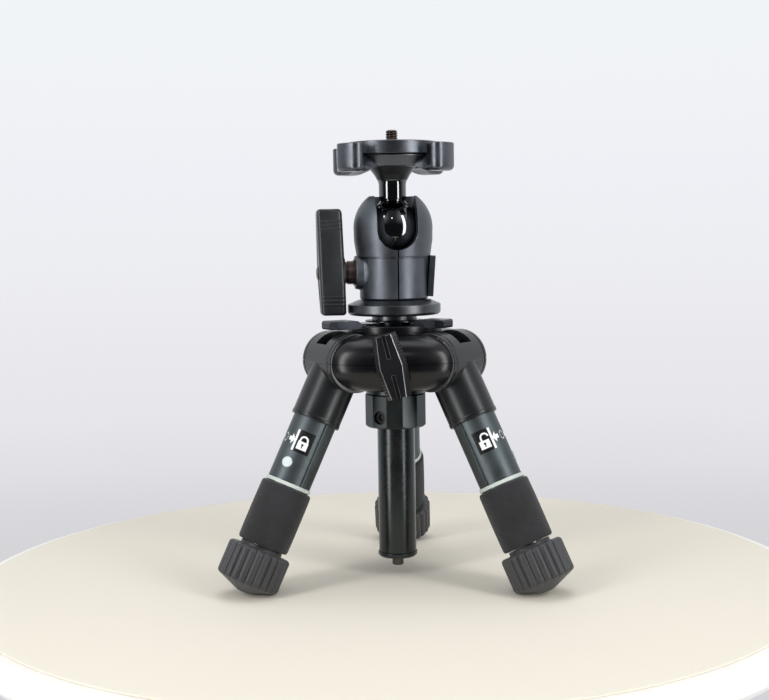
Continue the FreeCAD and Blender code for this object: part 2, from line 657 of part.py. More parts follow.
# Legs, each built upright and then leaned out about its hip
socket_bottom = -socket_length
tube_top = -tube_depth
tube_bottom = grip_start + section_step / 10 - hip_up
section_names = ("two", "three", "four")
for side, azimuth in leg_azimuths.items():
    leg_turn = Rotation(Vector(0, 0, 1), azimuth) * Rotation(Vector(0, 1, 0), -leg_tilt.value)
    hip_x = hip_reach * cosine(azimuth)
    hip_y = hip_reach * sine(azimuth)
    shift_x = leg_offset * cosine(leg_tilt) * cosine(azimuth)
    shift_y = leg_offset * cosine(leg_tilt) * sine(azimuth)
    shift_z = leg_offset * sine(leg_tilt)
    along_hip = facing(0, 1, 0)

    # Piece whose own Z axis is the leg's axis, zero at the height of the hip
    def on_leg(item, name):
        place(item, hip_x + shift_x, hip_y + shift_y, hip_height + shift_z, leg_turn)
        return node(item, name + "_" + side)

    # Hip casting: barrel about the hinge axis, socket for the tube and stop notches
    barrel_half = hip_half_width - joint_gap
    barrel = cylinder("barrel_" + side, barrel_radius, barrel_half * 2, 0, -barrel_half, 0, along_hip)
    socket = cylinder("socket_" + side, socket_radius, -socket_bottom, leg_offset, 0, socket_bottom)
    tube_hole = cylinder("tube_hole_" + side, tube_radius + seat_gap, tube_top - socket_bottom + seat_gap,
                         leg_offset, 0, socket_bottom)
    hinge_hole = cylinder("hinge_hole_" + side, pin_radius + running_gap, hip_half_width * 2, 0, -hip_half_width,
                          0, along_hip)
    track_turn = Rotation(Vector(1, 0, 0), -90) * Rotation(Vector(0, 0, 1), -(notch_start + notch_sweep).value)
    track_outer = cylinder("track_outer_" + side, barrel_radius * 1.5, notch_width, 0, -notch_width / 2, 0,
                           track_turn)
    bind(track_outer, "Angle", notch_sweep)
    track_inner = cylinder("track_inner_" + side, barrel_radius - notch_depth, notch_width * 2, 0, -notch_width, 0,
                           along_hip)
    track = cut("track_" + side, track_outer, [track_inner])
    casting_cuts = [tube_hole, hinge_hole, track]
    for number, angle in enumerate(notch_angles):
        reach = barrel_radius - notch_depth
        casting_cuts.append(cylinder("notch_%s_%d" % (side, number + 1), notch_tooth_radius, notch_width,
                                     reach * cosine(angle), -notch_width / 2, reach * sine(angle), along_hip))
    casting_blank = joined("casting_blank_" + side, [barrel, socket])
    casting = node(cut("hip_casting_" + side, casting_blank, casting_cuts), "hip_casting_" + side)
    place(casting, hip_x, hip_y, hip_height, leg_turn)

    # First tube with its two long grooves and the hole of the raised dot
    tube_pipe = turned("tube_pipe_" + side, [
        (tube_radius - tube_wall, tube_bottom),
        (tube_radius, tube_bottom),
        (tube_radius, tube_top),
        (tube_radius - tube_wall, tube_top)])
    tube_cuts = []
    for number, sign in enumerate((-1, 1)):
        groove_azimuth = tube_groove_azimuth * sign
        tube_cuts.append(cylinder("tube_groove_%s_%d" % (side, number + 1), tube_groove_radius,
                                  tube_top - tube_bottom, tube_radius * cosine(groove_azimuth),
                                  tube_radius * sine(groove_azimuth), tube_bottom))
    dot_turn = facing(cosine(dot_azimuth).value, sine(dot_azimuth).value, 0)
    dot_start = tube_radius - tube_wall + seat_gap
    tube_cuts.append(cylinder("dot_hole_" + side, dot_radius + seat_gap, tube_radius + dot_radius, 0, 0,
                              dot_place - hip_up, dot_turn))
    on_leg(cut("leg_tube_" + side, tube_pipe, tube_cuts), "leg_tube")
    dot_pin = cylinder("dot_pin_" + side, dot_radius, tube_radius + dot_rise, 0, 0, dot_place - hip_up, dot_turn)
    dot_hollow = cylinder("dot_hollow_" + side, dot_start, dot_radius * 4, 0, 0,
                          dot_place - hip_up - dot_radius * 2)
    on_leg(cut("tube_dot_" + side, dot_pin, [dot_hollow]), "tube_dot")

    # Pale ring and foam grip round the tube
    ring_bottom = ring_middle - ring_height / 2 - hip_up
    on_leg(turned("grip_ring_" + side, [
        (tube_radius + seat_gap, ring_bottom),
        (tube_radius + ring_thickness, ring_bottom),
        (tube_radius + ring_thickness, ring_bottom + ring_height),
        (tube_radius + seat_gap, ring_bottom + ring_height)]), "grip_ring")
    on_leg(turned("foam_grip_" + side, [
        (tube_radius + seat_gap, grip_start - hip_up),
        (grip_radius - grip_rounding, grip_start - hip_up),
        (grip_radius - grip_rounding / 3, grip_start + grip_rounding / 3 - hip_up),
        (grip_radius, grip_start + grip_rounding - hip_up),
        (grip_radius, grip_end - grip_rounding - hip_up),
        (grip_radius - grip_rounding / 3, grip_end - grip_rounding / 3 - hip_up),
        (grip_radius - grip_rounding, grip_end - hip_up),
        (tube_radius + seat_gap, grip_end - hip_up)]), "foam_grip")

    # Three sections that telescope in the first tube
    outer = tube_radius - tube_wall
    for number, word in enumerate(section_names):
        radius = outer - slide_gap
        start = section_start + section_step * number / 4
        if word == "four":
            start = foot_top - foot_socket_depth
        end = tube_top - section_headroom - section_step * number
        on_leg(turned("section_%s_%s" % (word, side), [
            (radius - section_wall, start - hip_up),
            (radius, start - hip_up),
            (radius, end),
            (radius - section_wall, end)]), "section_" + word)
        outer = radius - section_wall

    # Rubber foot: ribbed drum over a blunt cone, standing on the drum's lower edge
    last_radius = outer + section_wall
    edge_radius = foot_radius - foot_rounding
    edge = edge_radius * tangent(leg_tilt) - foot_sink - hip_up
    low = edge - (edge_radius - foot_tip_radius) * tangent(foot_cone)
    foot = turned("foot_blank_" + side, [
        (0, low),
        (foot_tip_radius, low),
        (edge_radius, edge),
        (foot_radius, edge + foot_rounding),
        (foot_radius, foot_top - foot_rounding - hip_up),
        (foot_radius - foot_rounding, foot_top - hip_up),
        (foot_neck_radius, foot_top - hip_up),
        (foot_neck_radius, foot_top + foot_neck_rise - hip_up),
        (last_radius + seat_gap, foot_top + foot_neck_rise - hip_up),
        (last_radius + seat_gap, foot_top - foot_socket_depth - seat_gap - hip_up),
        (0, foot_top - foot_socket_depth - seat_gap - hip_up)])
    doc.recompute()
    rib_sketch = foot.newObject("Sketcher::SketchObject", "foot_groove_" + side)
    plane = [item for item in foot.Origin.OriginFeatures if item.Role == "XY_Plane"][0]
    rib_sketch.AttachmentSupport = [(plane, "")]
    rib_sketch.MapMode = "FlatFace"
    groove_reach = foot_radius + foot_groove_radius - foot_groove_depth
    rib_sketch.addGeometry(Part.Circle(Vector(groove_reach.value, 0, 0), Vector(0, 0, 1),
                                       foot_groove_radius.value), False)
    rib_sketch.addConstraint(Sketcher.Constraint("PointOnObject", 0, 3, -1))
    made = rib_sketch.addConstraint(Sketcher.Constraint("DistanceX", -1, 1, 0, 3, groove_reach.value))
    rib_sketch.setExpression("Constraints[%d]" % made, groove_reach.words)
    made = rib_sketch.addConstraint(Sketcher.Constraint("Radius", 0, foot_groove_radius.value))
    rib_sketch.setExpression("Constraints[%d]" % made, foot_groove_radius.words)
    groove = foot.newObject("PartDesign::Pocket", "foot_pocket_" + side)
    groove.Profile = rib_sketch
    bind(groove, "Length", hip_up + foot_sink)
    groove.Reversed = False
    doc.recompute()
    pattern = foot.newObject("PartDesign::PolarPattern", "foot_ribs_" + side)
    pattern.Originals = [groove]
    pattern.Axis = (rib_sketch, ["N_Axis"])
    pattern.Angle = 360
    pattern.Occurrences = foot_groove_count
    foot.Tip = pattern
    place(foot, hip_x + shift_x, hip_y + shift_y, hip_height + shift_z, leg_turn)
    under = box("under_floor_" + side, big * 4, big * 4, big, -big * 2, -big * 2, -big)
    node(cut("foot_" + side, foot, [under]), "foot_" + side)

# Column with its end plug, stub, top insert, flange and the stud that holds the head
tube_inside = column_radius - column_wall
node(turned("column_tube", [
    (tube_inside, column_foot),
    (column_radius, column_foot),
    (column_radius, column_head),
    (tube_inside, column_head)]), "column_tube")
plug_bottom = column_foot - plug_drop
node(turned("column_plug", [
    (stub_radius + seat_gap, plug_bottom),
    (plug_radius - plug_drop / 3, plug_bottom),
    (plug_radius, plug_bottom + plug_drop / 3),
    (plug_radius, column_foot),
    (tube_inside - seat_gap, column_foot),
    (tube_inside - seat_gap, column_foot + plug_depth),
    (stub_radius + seat_gap, column_foot + plug_depth)]), "column_plug")
node(cylinder("plug_screw", stub_radius, stub_drop + plug_depth, 0, 0, plug_bottom - stub_drop), "plug_screw")
stud_bottom = column_head - insert_depth
node(turned("column_insert", [
    (stud_radius + seat_gap, stud_bottom),
    (tube_inside - seat_gap, stud_bottom),
    (tube_inside - seat_gap, column_head),
    (stud_radius + seat_gap, column_head)]), "column_insert")
node(turned("column_flange", [
    (stud_radius + seat_gap, column_head + seat_gap),
    (flange_radius, column_head + seat_gap),
    (flange_radius, flange_top),
    (stud_radius + seat_gap, flange_top)]), "column_flange")
node(cylinder("head_stud", stud_radius, base_bottom + stud_reach - stud_bottom, 0, 0, stud_bottom), "head_stud")

# Head base with the neck it stands on and the post that the housing turns on
node(turned("head_base", [
    (stud_radius + seat_gap, flange_top + seat_gap),
    (base_neck_radius, flange_top + seat_gap),
    (base_neck_radius, base_bottom),
    (base_radius - base_edge, base_bottom),
    (base_radius, base_bottom + base_edge),
    (base_radius, base_bottom + base_rim),
    (base_top_radius, base_top),
    (post_radius, base_top),
    (post_radius, base_top + post_height),
    (0, base_top + post_height),
    (0, base_bottom + stud_reach + seat_gap),
    (stud_radius + seat_gap, base_bottom + stud_reach + seat_gap)]), "head_base")

# Housing of the ball, built facing -Y and then panned
pan = Rotation(Vector(0, 0, 1), head_pan.value)
housing_skin = turned("housing_skin", [
    (0, housing_bottom),
    (housing_radius, housing_bottom),
    (housing_radius, skirt_top),
    (housing_radius - groove_depth, skirt_top),
    (housing_radius - groove_depth, skirt_top + groove_width),
    (shoulder_radius, skirt_top + groove_width),
    (dome_radius, skirt_top + groove_width + shoulder_height),
    (dome_radius, dome_height),
    (0, dome_height)])
dome = sphere("dome", dome_radius, 0, 0, dome_height)
dome_space = cylinder("dome_space", dome_radius * 2, dome_rise, 0, 0, dome_height)
dome_cap = shared("dome_cap", dome, dome_space)
boss = cylinder("lever_boss", lever_boss_radius, lever_boss_reach, 0, 0, lever_height, facing(-1, 0, 0))
cheek = padded("cheek", [
    (cheek_root, lever_height - cheek_drop),
    (cheek_low, lever_height - cheek_drop),
    (cheek_high, lever_height + cheek_rise),
    (cheek_root, lever_height + cheek_rise)], cheek_width, "XZ_Plane")
place(cheek, 0, cheek_width / 2, 0)
housing_blank = joined("housing_blank", [housing_skin, dome_cap, boss, cheek])
cup_radius = ball_radius + running_gap + cup_wall
cup_room = sphere("cup_room", cup_radius + joint_gap, 0, 0, ball_height)
cup_room_space = cylinder("cup_room_space", dome_radius, dome_radius, 0, 0, ball_height - cup_space_drop - dome_radius)
slot_low = ball_height - slot_drop
post_room = cylinder("post_room", post_radius + running_gap, post_height + joint_gap, 0, 0, base_top)
housing_cuts = [
    post_room,
    sphere("ball_room", ball_radius + joint_gap, 0, 0, ball_height),
    shared("cup_room_low", cup_room, cup_room_space),
    cylinder("mouth", mouth_radius, dome_radius, 0, 0, ball_height),
    box("front_slot", slot_width, dome_radius * 2, dome_radius * 2, -slot_width / 2, -dome_radius * 2, slot_low),
    cylinder("front_slot_round", slot_width / 2, dome_radius * 2, 0, 0, slot_low, front),
    box("slit", slit_width, housing_radius * 2, ball_height - housing_bottom, -slit_width / 2,
        -housing_radius * 2, housing_bottom - joint_gap),
    cylinder("lock_screw_hole", lock_screw_radius + running_gap, lever_boss_reach * 2 + joint_gap,
             lock_screw_end + running_gap, 0, lever_height, facing(-1, 0, 0))]
housing = node(cut("head_housing", housing_blank, housing_cuts), "head_housing")
place(housing, 0, 0, 0, pan)

# Cup under the ball, which leans with it from side to side
cup_ball = sphere("cup_ball", cup_radius, 0, 0, ball_height)
cup_hollow = sphere("cup_hollow", ball_radius + running_gap, 0, 0, ball_height)
cup_space = cylinder("cup_space", dome_radius, dome_radius, 0, 0, ball_height - cup_drop - dome_radius)
cup_low = shared("cup_low", cup_ball, cup_space)
cup = node(cut("ball_cup", cup_low, [cup_hollow]), "ball_cup")
place(cup, 0, 0, 0, pan)

# Ball and stem in one piece
stem_post = turned("stem_post", [
    (0, ball_height),
    (stem_radius, ball_height),
    (stem_radius, ball_height + stem_length),
    (flare_bend_radius, ball_height + stem_length + flare_bend_height),
    (flare_radius, ball_height + stem_length + flare_height),
    (flare_radius, stem_top),
    (0, stem_top)])
ball = sphere("ball", ball_radius, 0, 0, ball_height)
stem_blank = joined("stem_blank", [ball, stem_post])
stem_bore = cylinder("stem_bore", screw_root_radius + seat_gap, screw_root, 0, 0, stem_top - screw_root)
node(cut("ball_stem", stem_blank, [stem_bore]), "ball_stem")
screw_tip = screw_radius / 5
screw_bottom = stem_top - screw_root + seat_gap
screw_top = pad_top + screw_rise
node(turned("camera_screw", [
    (0, screw_bottom),
    (screw_root_radius, screw_bottom),
    (screw_root_radius, pad_top + screw_collar_rise),
    (screw_radius, pad_top + screw_collar_rise),
    (screw_radius, screw_top - screw_tip),
    (screw_radius - screw_tip, screw_top),
    (0, screw_top)]), "camera_screw")

# Platform and the four lobed wheel under it
node(turned("camera_disc", [
    (screw_root_radius + running_gap, disc_bottom),
    (disc_radius, disc_bottom),
    (disc_radius, disc_top - disc_edge),
    (disc_radius - disc_edge, disc_top),
    (screw_root_radius + running_gap, disc_top)]), "camera_disc")
node(turned("camera_pad", [
    (screw_radius * 2, disc_top),
    (pad_radius, disc_top),
    (pad_radius, pad_top),
    (screw_radius * 2, pad_top)]), "camera_pad")
wheel_bottom = disc_bottom - wheel_web - wheel_drop
wheel_top = disc_top - disc_edge
wheel_parts = [turned("wheel_hub", [
    (flare_radius + joint_gap, disc_bottom - wheel_web),
    (wheel_neck_radius, disc_bottom - wheel_web),
    (wheel_shoulder_radius, disc_bottom - seat_gap),
    (flare_radius + joint_gap, disc_bottom - seat_gap)])]
half_arm = wheel_arm_width / 2
half_root = wheel_arm_root / 2
half_waist = wheel_arm_waist / 2
half_heel = wheel_arm_heel / 2
arm_root = wheel_neck_radius - wheel_shrink
arm_heel = disc_radius - wheel_shrink
arm_end = [
    (wheel_flare_radius, -half_arm),
    (wheel_reach, -half_arm),
    (wheel_reach, half_arm),
    (wheel_flare_radius, half_arm)]
arm_low = [(arm_root, -half_root), (wheel_neck_radius, -half_root), (wheel_waist_radius, -half_waist)] + arm_end + [
    (wheel_waist_radius, half_waist), (wheel_neck_radius, half_root), (arm_root, half_root)]
arm_high = [(arm_heel, -half_heel)] + arm_end + [(arm_heel, half_heel)]
ledge_height = disc_bottom - wheel_ledge
for number in range(wheel_arms):
    arm_turn = Rotation(Vector(0, 0, 1), wheel_azimuth.value + number * 360 / wheel_arms)
    low_arm = padded("wheel_arm_low_%d" % (number + 1), arm_low, ledge_height - wheel_bottom)
    high_arm = padded("wheel_arm_high_%d" % (number + 1), arm_high, wheel_top - ledge_height)
    wheel_parts.append(place(low_arm, 0, 0, wheel_bottom, arm_turn))
    wheel_parts.append(place(high_arm, 0, 0, ledge_height, arm_turn))
wheel_blank = joined("wheel_blank", wheel_parts)
tip_middle = wheel_reach - wheel_tip_radius
tips = [cylinder("wheel_core", tip_middle, wheel_top - wheel_bottom, 0, 0, wheel_bottom)]
for number in range(wheel_arms):
    tip_angle = wheel_azimuth + number * 360 / wheel_arms
    tip = turned("wheel_tip_%d" % (number + 1), [
        (0, wheel_bottom),
        (wheel_tip_radius - wheel_bevel, wheel_bottom),
        (wheel_tip_radius, wheel_bottom + wheel_bevel),
        (wheel_tip_radius, wheel_top),
        (0, wheel_top)])
    tips.append(place(tip, cosine(tip_angle) * tip_middle, sine(tip_angle) * tip_middle, 0))
wheel_form = shared("wheel_form", wheel_blank, joined("wheel_outline", tips))
disc_room = cylinder("disc_room", disc_radius + seat_gap, disc_thickness * 2, 0, 0, disc_bottom - seat_gap)
wheel_arch = turned("wheel_arch", [
    (0, wheel_bottom - wheel_drop),
    (wheel_waist_radius, wheel_bottom - wheel_drop),
    (wheel_neck_radius, disc_bottom - wheel_web),
    (0, disc_bottom - wheel_web)])
node(cut("lock_wheel", wheel_form, [disc_room, wheel_arch]), "lock_wheel")

# Lever knob of the head on the left, with its bushing, screw and cap
left = facing(-1, 0, 0)
bushing_end = lever_boss_reach + bushing_length
lever_inner = bushing_end + lever_gap
lever_outer = lever_inner + lever_thickness


# Piece modelled for a head that faces -Y, turned with the pan
def on_head(item, name, x, z, turn=origin_turn):
    place(item, x * cosine(head_pan), x * sine(head_pan), z, pan * turn)
    return node(item, name)


bushing = turned("knob_bushing", [
    (lock_screw_radius + running_gap, 0),
    (bushing_radius, 0),
    (bushing_radius, bushing_length),
    (lock_screw_radius + running_gap, bushing_length)])
on_head(bushing, "knob_bushing", -lever_boss_reach, lever_height, left)
lever_plate = padded("lever_plate", [
    (-lever_end / 2, -lever_down),
    (lever_end / 2, -lever_down),
    (lever_middle / 2, -lever_waist_down),
    (lever_middle / 2, lever_waist_up),
    (lever_end / 2, lever_up),
    (-lever_end / 2, lever_up),
    (-lever_middle / 2, lever_waist_up),
    (-lever_middle / 2, -lever_waist_down)], lever_thickness, "XZ_Plane")
lever_hub = cylinder("lever_hub", lever_hub_radius, lever_gap + lever_thickness / 2 - running_gap * 2, 0,
                     lever_gap - running_gap * 2, 0, front)
lever_bore = cylinder("lever_bore", lock_screw_radius + seat_gap, lever_thickness / 2 + lever_gap + seat_gap, 0,
                      lever_gap, 0, front)
lever = cut("lock_lever", joined("lever_blank", [lever_plate, lever_hub]), [lever_bore])
on_head(lever, "lock_lever", -lever_inner, lever_height, Rotation(Vector(0, 0, 1), -90))
lock_screw_length = lever_inner + lever_thickness / 2 + lock_screw_end
on_head(cylinder("lock_screw", lock_screw_radius, lock_screw_length), "lock_screw", lock_screw_end, lever_height, left)
on_head(cylinder("lever_cap", cap_radius, cap_height), "lever_cap", -lever_outer, lever_height, left)

doc.recompute()

# Every object is checked before any file is written
for item in doc.Objects:
    if "Invalid" in item.State or "Error" in item.State:
        raise RuntimeError("%s failed: %s" % (item.Name, item.State))
for item in nodes:
    shape = item.Shape
    if shape.isNull() or not shape.isValid() or not shape.Solids:
        raise RuntimeError("%s has no sound solid" % item.Label)
    centre = shape.BoundBox.Center
    print("%-22s %2d solids %10.1f mm3  centre %7.1f %7.1f %7.1f" % (
        item.Label, len(shape.Solids), shape.Volume, centre.x, centre.y, centre.z))
for item in nodes:
    item.Shape.exportStep("parts/%s.step" % item.Label)
print(len(nodes), "pieces")
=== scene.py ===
import json
import math
import bmesh
import bpy
from mathutils import Matrix, Vector


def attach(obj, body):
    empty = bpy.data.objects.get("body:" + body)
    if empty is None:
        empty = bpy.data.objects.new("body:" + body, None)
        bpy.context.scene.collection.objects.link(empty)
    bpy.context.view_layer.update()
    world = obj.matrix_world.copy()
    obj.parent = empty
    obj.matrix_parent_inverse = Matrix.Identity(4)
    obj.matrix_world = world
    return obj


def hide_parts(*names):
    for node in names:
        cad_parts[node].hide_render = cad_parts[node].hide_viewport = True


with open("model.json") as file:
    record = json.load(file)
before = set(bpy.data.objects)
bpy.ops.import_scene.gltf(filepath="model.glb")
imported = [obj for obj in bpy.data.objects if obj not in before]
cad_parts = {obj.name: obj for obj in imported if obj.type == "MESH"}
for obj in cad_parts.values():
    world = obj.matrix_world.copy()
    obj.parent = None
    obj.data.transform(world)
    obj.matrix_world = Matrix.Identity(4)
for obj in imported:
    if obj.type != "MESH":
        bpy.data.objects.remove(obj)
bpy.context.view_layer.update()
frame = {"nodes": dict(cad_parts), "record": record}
nodes = frame["nodes"]
scene = bpy.context.scene
scene.view_settings.view_transform = "Standard"
print("frame loaded with", len(nodes), "nodes")

# lengths below are in millimetres, scaled when a piece is settled; light and world distances are in metres
mm = 0.001


def turned(angle, axis="Z"):
    return Matrix.Rotation(math.radians(angle), 4, axis)


def placed(x, y, z):
    return Matrix.Translation((x, y, z))


# ---- camera, matched to the photograph
photoCamera = {"place": (26.44, -694.57, 179.3), "lens": 62.21, "turn": 2.627, "pitch": 85.059, "roll": -0.907}
lensData = bpy.data.cameras.new("photoCamera")
lensData.lens = photoCamera["lens"]
lensData.sensor_width = 36
lensData.clip_start = 0.01
eye = bpy.data.objects.new("photoCamera", lensData)
scene.collection.objects.link(eye)
eye.matrix_world = (Matrix.Translation(Vector(photoCamera["place"]) * mm)
                    @ turned(photoCamera["turn"])
                    @ turned(photoCamera["pitch"], "X")
                    @ turned(photoCamera["roll"]))
scene.camera = eye


# ---- node helpers, for materials and for geometry trees alike
def put(tree, kind, sockets=None, **settings):
    made = tree.nodes.new(kind)
    for name, value in settings.items():
        setattr(made, name, value)
    for key, value in (sockets or {}).items():
        if isinstance(value, bpy.types.NodeSocket):
            tree.links.new(value, made.inputs[key])
        else:
            made.inputs[key].default_value = value
    return made


def calc(tree, how, first, second=0.0, third=0.0):
    kind = "ShaderNodeMath"
    return put(tree, kind, {0: first, 1: second, 2: third}, operation=how).outputs[0]


def spread(tree, value, low, high, toLow, toHigh, soft=False):
    made = put(tree, "ShaderNodeMapRange", {0: value, 1: low, 2: high, 3: toLow, 4: toHigh})
    made.interpolation_type = "SMOOTHSTEP" if soft else "LINEAR"
    return made.outputs[0]


# ---- materials
def finish(name, colour, rough, metal=0.0, grain=0.5, relief=0.25, tone=0.12, patch=14.0, uneven=0.06,
           coat=0.0, coatRough=0.12, streak=0.0, specular=0.5, edgeWearAndHighlight=0.0, sheen=0.0, pits=0.0):
    made = bpy.data.materials.new(name)
    made.use_nodes = True
    tree = made.node_tree
    skin = tree.nodes["Principled BSDF"]
    skin.inputs["Metallic"].default_value = metal
    skin.inputs["Specular IOR Level"].default_value = specular
    skin.inputs["Coat Weight"].default_value = coat
    skin.inputs["Coat Roughness"].default_value = coatRough
    skin.inputs["Sheen Weight"].default_value = sheen
    place = put(tree, "ShaderNodeTexCoord").outputs["Object"]
    clouds = put(tree, "ShaderNodeTexNoise", {"Vector": place, "Scale": 1000 / patch, "Detail": 4.0, "Roughness": 0.6})
    grains = put(tree, "ShaderNodeTexNoise", {"Vector": place, "Scale": 1000 / grain, "Detail": 3.0})
    height = grains.outputs[0]
    roughness = spread(tree, clouds.outputs[0], 0.3, 0.7, rough - uneven, rough + uneven)
    if streak:
        wrap = put(tree, "ShaderNodeUVMap", uv_map="wrap").outputs[0]
        lines = put(tree, "ShaderNodeMapping", {"Vector": wrap, "Scale": (1 / 0.00022, 1 / 0.06, 1.0)}).outputs[0]
        drawn = put(tree, "ShaderNodeTexNoise", {"Vector": lines, "Scale": 1.0, "Detail": 4.0}).outputs[0]
        height = calc(tree, "MULTIPLY_ADD", drawn, streak, height)
        roughness = calc(tree, "MULTIPLY_ADD", calc(tree, "SUBTRACT", drawn, 0.5), 0.22 * streak, roughness)
    if pits:
        cells = put(tree, "ShaderNodeTexVoronoi", {"Vector": place, "Scale": 1000 / pits}).outputs["Distance"]
        height = calc(tree, "MULTIPLY_ADD", spread(tree, cells, 0.05, 0.5, 0.0, 1.0, True), 1.4, height)
    dark = [c * (1 - tone) for c in colour] + [1]
    pale = [min(1, c * (1 + tone)) for c in colour] + [1]
    speck = calc(tree, "MULTIPLY_ADD", grains.outputs[0], 0.35, calc(tree, "MULTIPLY", clouds.outputs[0], 0.65))
    shade = put(tree, "ShaderNodeMix", {0: spread(tree, speck, 0.35, 0.65, 0.0, 1.0), 6: dark, 7: pale},
                data_type="RGBA").outputs[2]
    # edges are paled through a bevel mask broken up by cloud noise: partly wear, partly painted highlight on edges that
    # catch light
    if edgeWearAndHighlight:
        edge = put(tree, "ShaderNodeBevel", {"Radius": 0.0005}, samples=6).outputs[0]
        flat = put(tree, "ShaderNodeNewGeometry").outputs["Normal"]
        meet = put(tree, "ShaderNodeVectorMath", {0: edge, 1: flat}, operation="DOT_PRODUCT").outputs["Value"]
        edgeWearAndHighlightMask = calc(tree, "MULTIPLY", spread(tree, meet, 0.97, 0.8, 0.0, 1.0),
                   spread(tree, clouds.outputs[0], 0.42, 0.6, 0.2, 1.0))
        wornAndHighlitEdge = [min(1, c * 2.2 + 0.03) for c in colour] + [1]
        shade = put(tree, "ShaderNodeMix", {0: calc(tree, "MULTIPLY", edgeWearAndHighlightMask, edgeWearAndHighlight), 6: shade, 7: wornAndHighlitEdge},
                    data_type="RGBA").outputs[2]
    tree.links.new(shade, skin.inputs["Base Color"])
    tree.links.new(roughness, skin.inputs["Roughness"])
    bump = put(tree, "ShaderNodeBump", {"Strength": relief, "Distance": 0.00012, "Height": height})
    tree.links.new(bump.outputs[0], skin.inputs["Normal"])
    return made


paint = {
    "shell": finish("shellGloss", (0.003, 0.003, 0.004), 0.26, grain=0.9, relief=0.012, uneven=0.012, specular=0.4),
    "casting": finish("castingSatin", (0.006, 0.007, 0.008), 0.33, grain=0.5, relief=0.12, uneven=0.04, edgeWearAndHighlight=0.1,
                      specular=0.42),
    "tube": finish("tubeAnodised", (0.090, 0.105, 0.110), 0.47, metal=1.0, grain=0.25, relief=0.14, streak=0.7),
    "column": finish("columnAnodised", (0.042, 0.047, 0.048), 0.25, metal=0.9, grain=0.25, relief=0.1, streak=0.6),
    "head": finish("headSatin", (0.112, 0.122, 0.138), 0.45, metal=1.0, grain=0.35, relief=0.2, edgeWearAndHighlight=0.15),
    "rim": finish("baseSatin", (0.105, 0.111, 0.118), 0.36, metal=1.0, grain=0.35, relief=0.14, edgeWearAndHighlight=0.15),
    "plastic": finish("knobPlastic", (0.015, 0.017, 0.019), 0.36, grain=0.3, relief=0.18, edgeWearAndHighlight=0.15, specular=0.5),
    "platform": finish("platformSatin", (0.125, 0.134, 0.150), 0.36, metal=1.0, grain=0.35, relief=0.14, edgeWearAndHighlight=0.15),
    "ball": finish("ballChrome", (0.12, 0.125, 0.13), 0.07, metal=1.0, grain=2.0, relief=0.01, uneven=0.01, tone=0.03),
    "flare": finish("stemSatin", (0.030, 0.032, 0.035), 0.3, metal=1.0, grain=0.6, relief=0.08),
    "collar": finish("collarSatin", (0.058, 0.066, 0.068), 0.38, metal=1.0, grain=0.3, relief=0.14, edgeWearAndHighlight=0.1),
    "flank": finish("knobFlank", (0.006, 0.006, 0.007), 0.45, grain=0.3, relief=0.25, specular=0.35),
    # pale polished paint, laid on knob rims and lines as painted highlight
    "paintedHighlight": finish("paintedHighlightEdge", (0.42, 0.43, 0.45), 0.3, metal=1.0, grain=0.4, relief=0.1),
    "rubber": finish("footRubber", (0.029, 0.029, 0.032), 0.5, grain=0.3, relief=0.4, tone=0.22, sheen=0.08,
                     edgeWearAndHighlight=0.15),
    "foam": finish("gripFoam", (0.015, 0.015, 0.017), 0.95, grain=0.5, relief=1.0, tone=0.5, pits=0.8, sheen=0.14),
    "ring": finish("paleRing", (0.50, 0.54, 0.50), 0.5, grain=0.4, relief=0.1, tone=0.05),
    "dot": finish("paleDot", (0.56, 0.61, 0.62), 0.42, grain=0.4, relief=0.1, tone=0.05),
    "plate": finish("plateSatin", (0.022, 0.024, 0.029), 0.3, metal=1.0, grain=0.35, relief=0.12, edgeWearAndHighlight=0.2),
    "brass": finish("collarBrass", (0.52, 0.36, 0.20), 0.38, metal=1.0, grain=0.4, relief=0.15),
    "cork": finish("corkPad", (0.20, 0.14, 0.10), 0.85, grain=0.5, relief=0.8, tone=0.4, pits=0.9),
    "bronze": finish("darkBronze", (0.115, 0.088, 0.078), 0.3, metal=1.0, grain=0.4, relief=0.15, edgeWearAndHighlight=0.2),
    "steel": finish("blackSteel", (0.10, 0.085, 0.08), 0.28, metal=1.0, grain=0.4, relief=0.12, edgeWearAndHighlight=0.3),
    "section": finish("plainAluminium", (0.46, 0.47, 0.48), 0.32, metal=1.0, grain=0.3, relief=0.12, streak=0.6),
    "white": finish("printWhite", (0.74, 0.76, 0.76), 0.5, grain=0.2, relief=0.08, tone=0.05),
    "ink": finish("printBlack", (0.004, 0.004, 0.005), 0.42, grain=0.2, relief=0.06, tone=0.08, specular=0.25),
}
slotPaint = {
    "spider_black": "shell", "leg_casting_black": "casting", "anodised_grey": "tube", "column_black": "column",
    "head_black": "head", "knob_plastic": "plastic", "platform_black": "platform", "ball_black": "ball",
    "foot_rubber": "rubber", "grip_foam": "foam", "pale_ring": "ring", "pale_dot": "dot", "cork_pad": "cork",
    "bronze": "bronze", "dark_steel": "steel", "section_metal": "section",
}
paintSlot = {word: slot for slot, word in slotPaint.items()}
paintSlot.update({
    "plate": "leg_casting_black", "brass": "bronze", "rim": "head_black", "flare": "ball_black",
    "collar": "spider_black", "paintedHighlight": "knob_plastic", "flank": "knob_plastic", "white": "pale_dot",
    "ink": "column_black",
})
nodeSlot = {}
for part in frame["record"]["subparts"]:
    nodeSlot[part["node"]] = part["material_slot"]
print("materials:", len(paint))


# ---- mesh helpers
def newPiece(name, points, faces, wraps=None):
    mesh = bpy.data.meshes.new(name)
    mesh.from_pydata(points, [], faces)
    layer = mesh.uv_layers.new(name="wrap")
    if wraps:
        for spot, pair in zip(layer.uv, [pair for wrap in wraps for pair in wrap]):
            spot.vector = pair
    made = bpy.data.objects.new(name, mesh)
    scene.collection.objects.link(made)
    return made


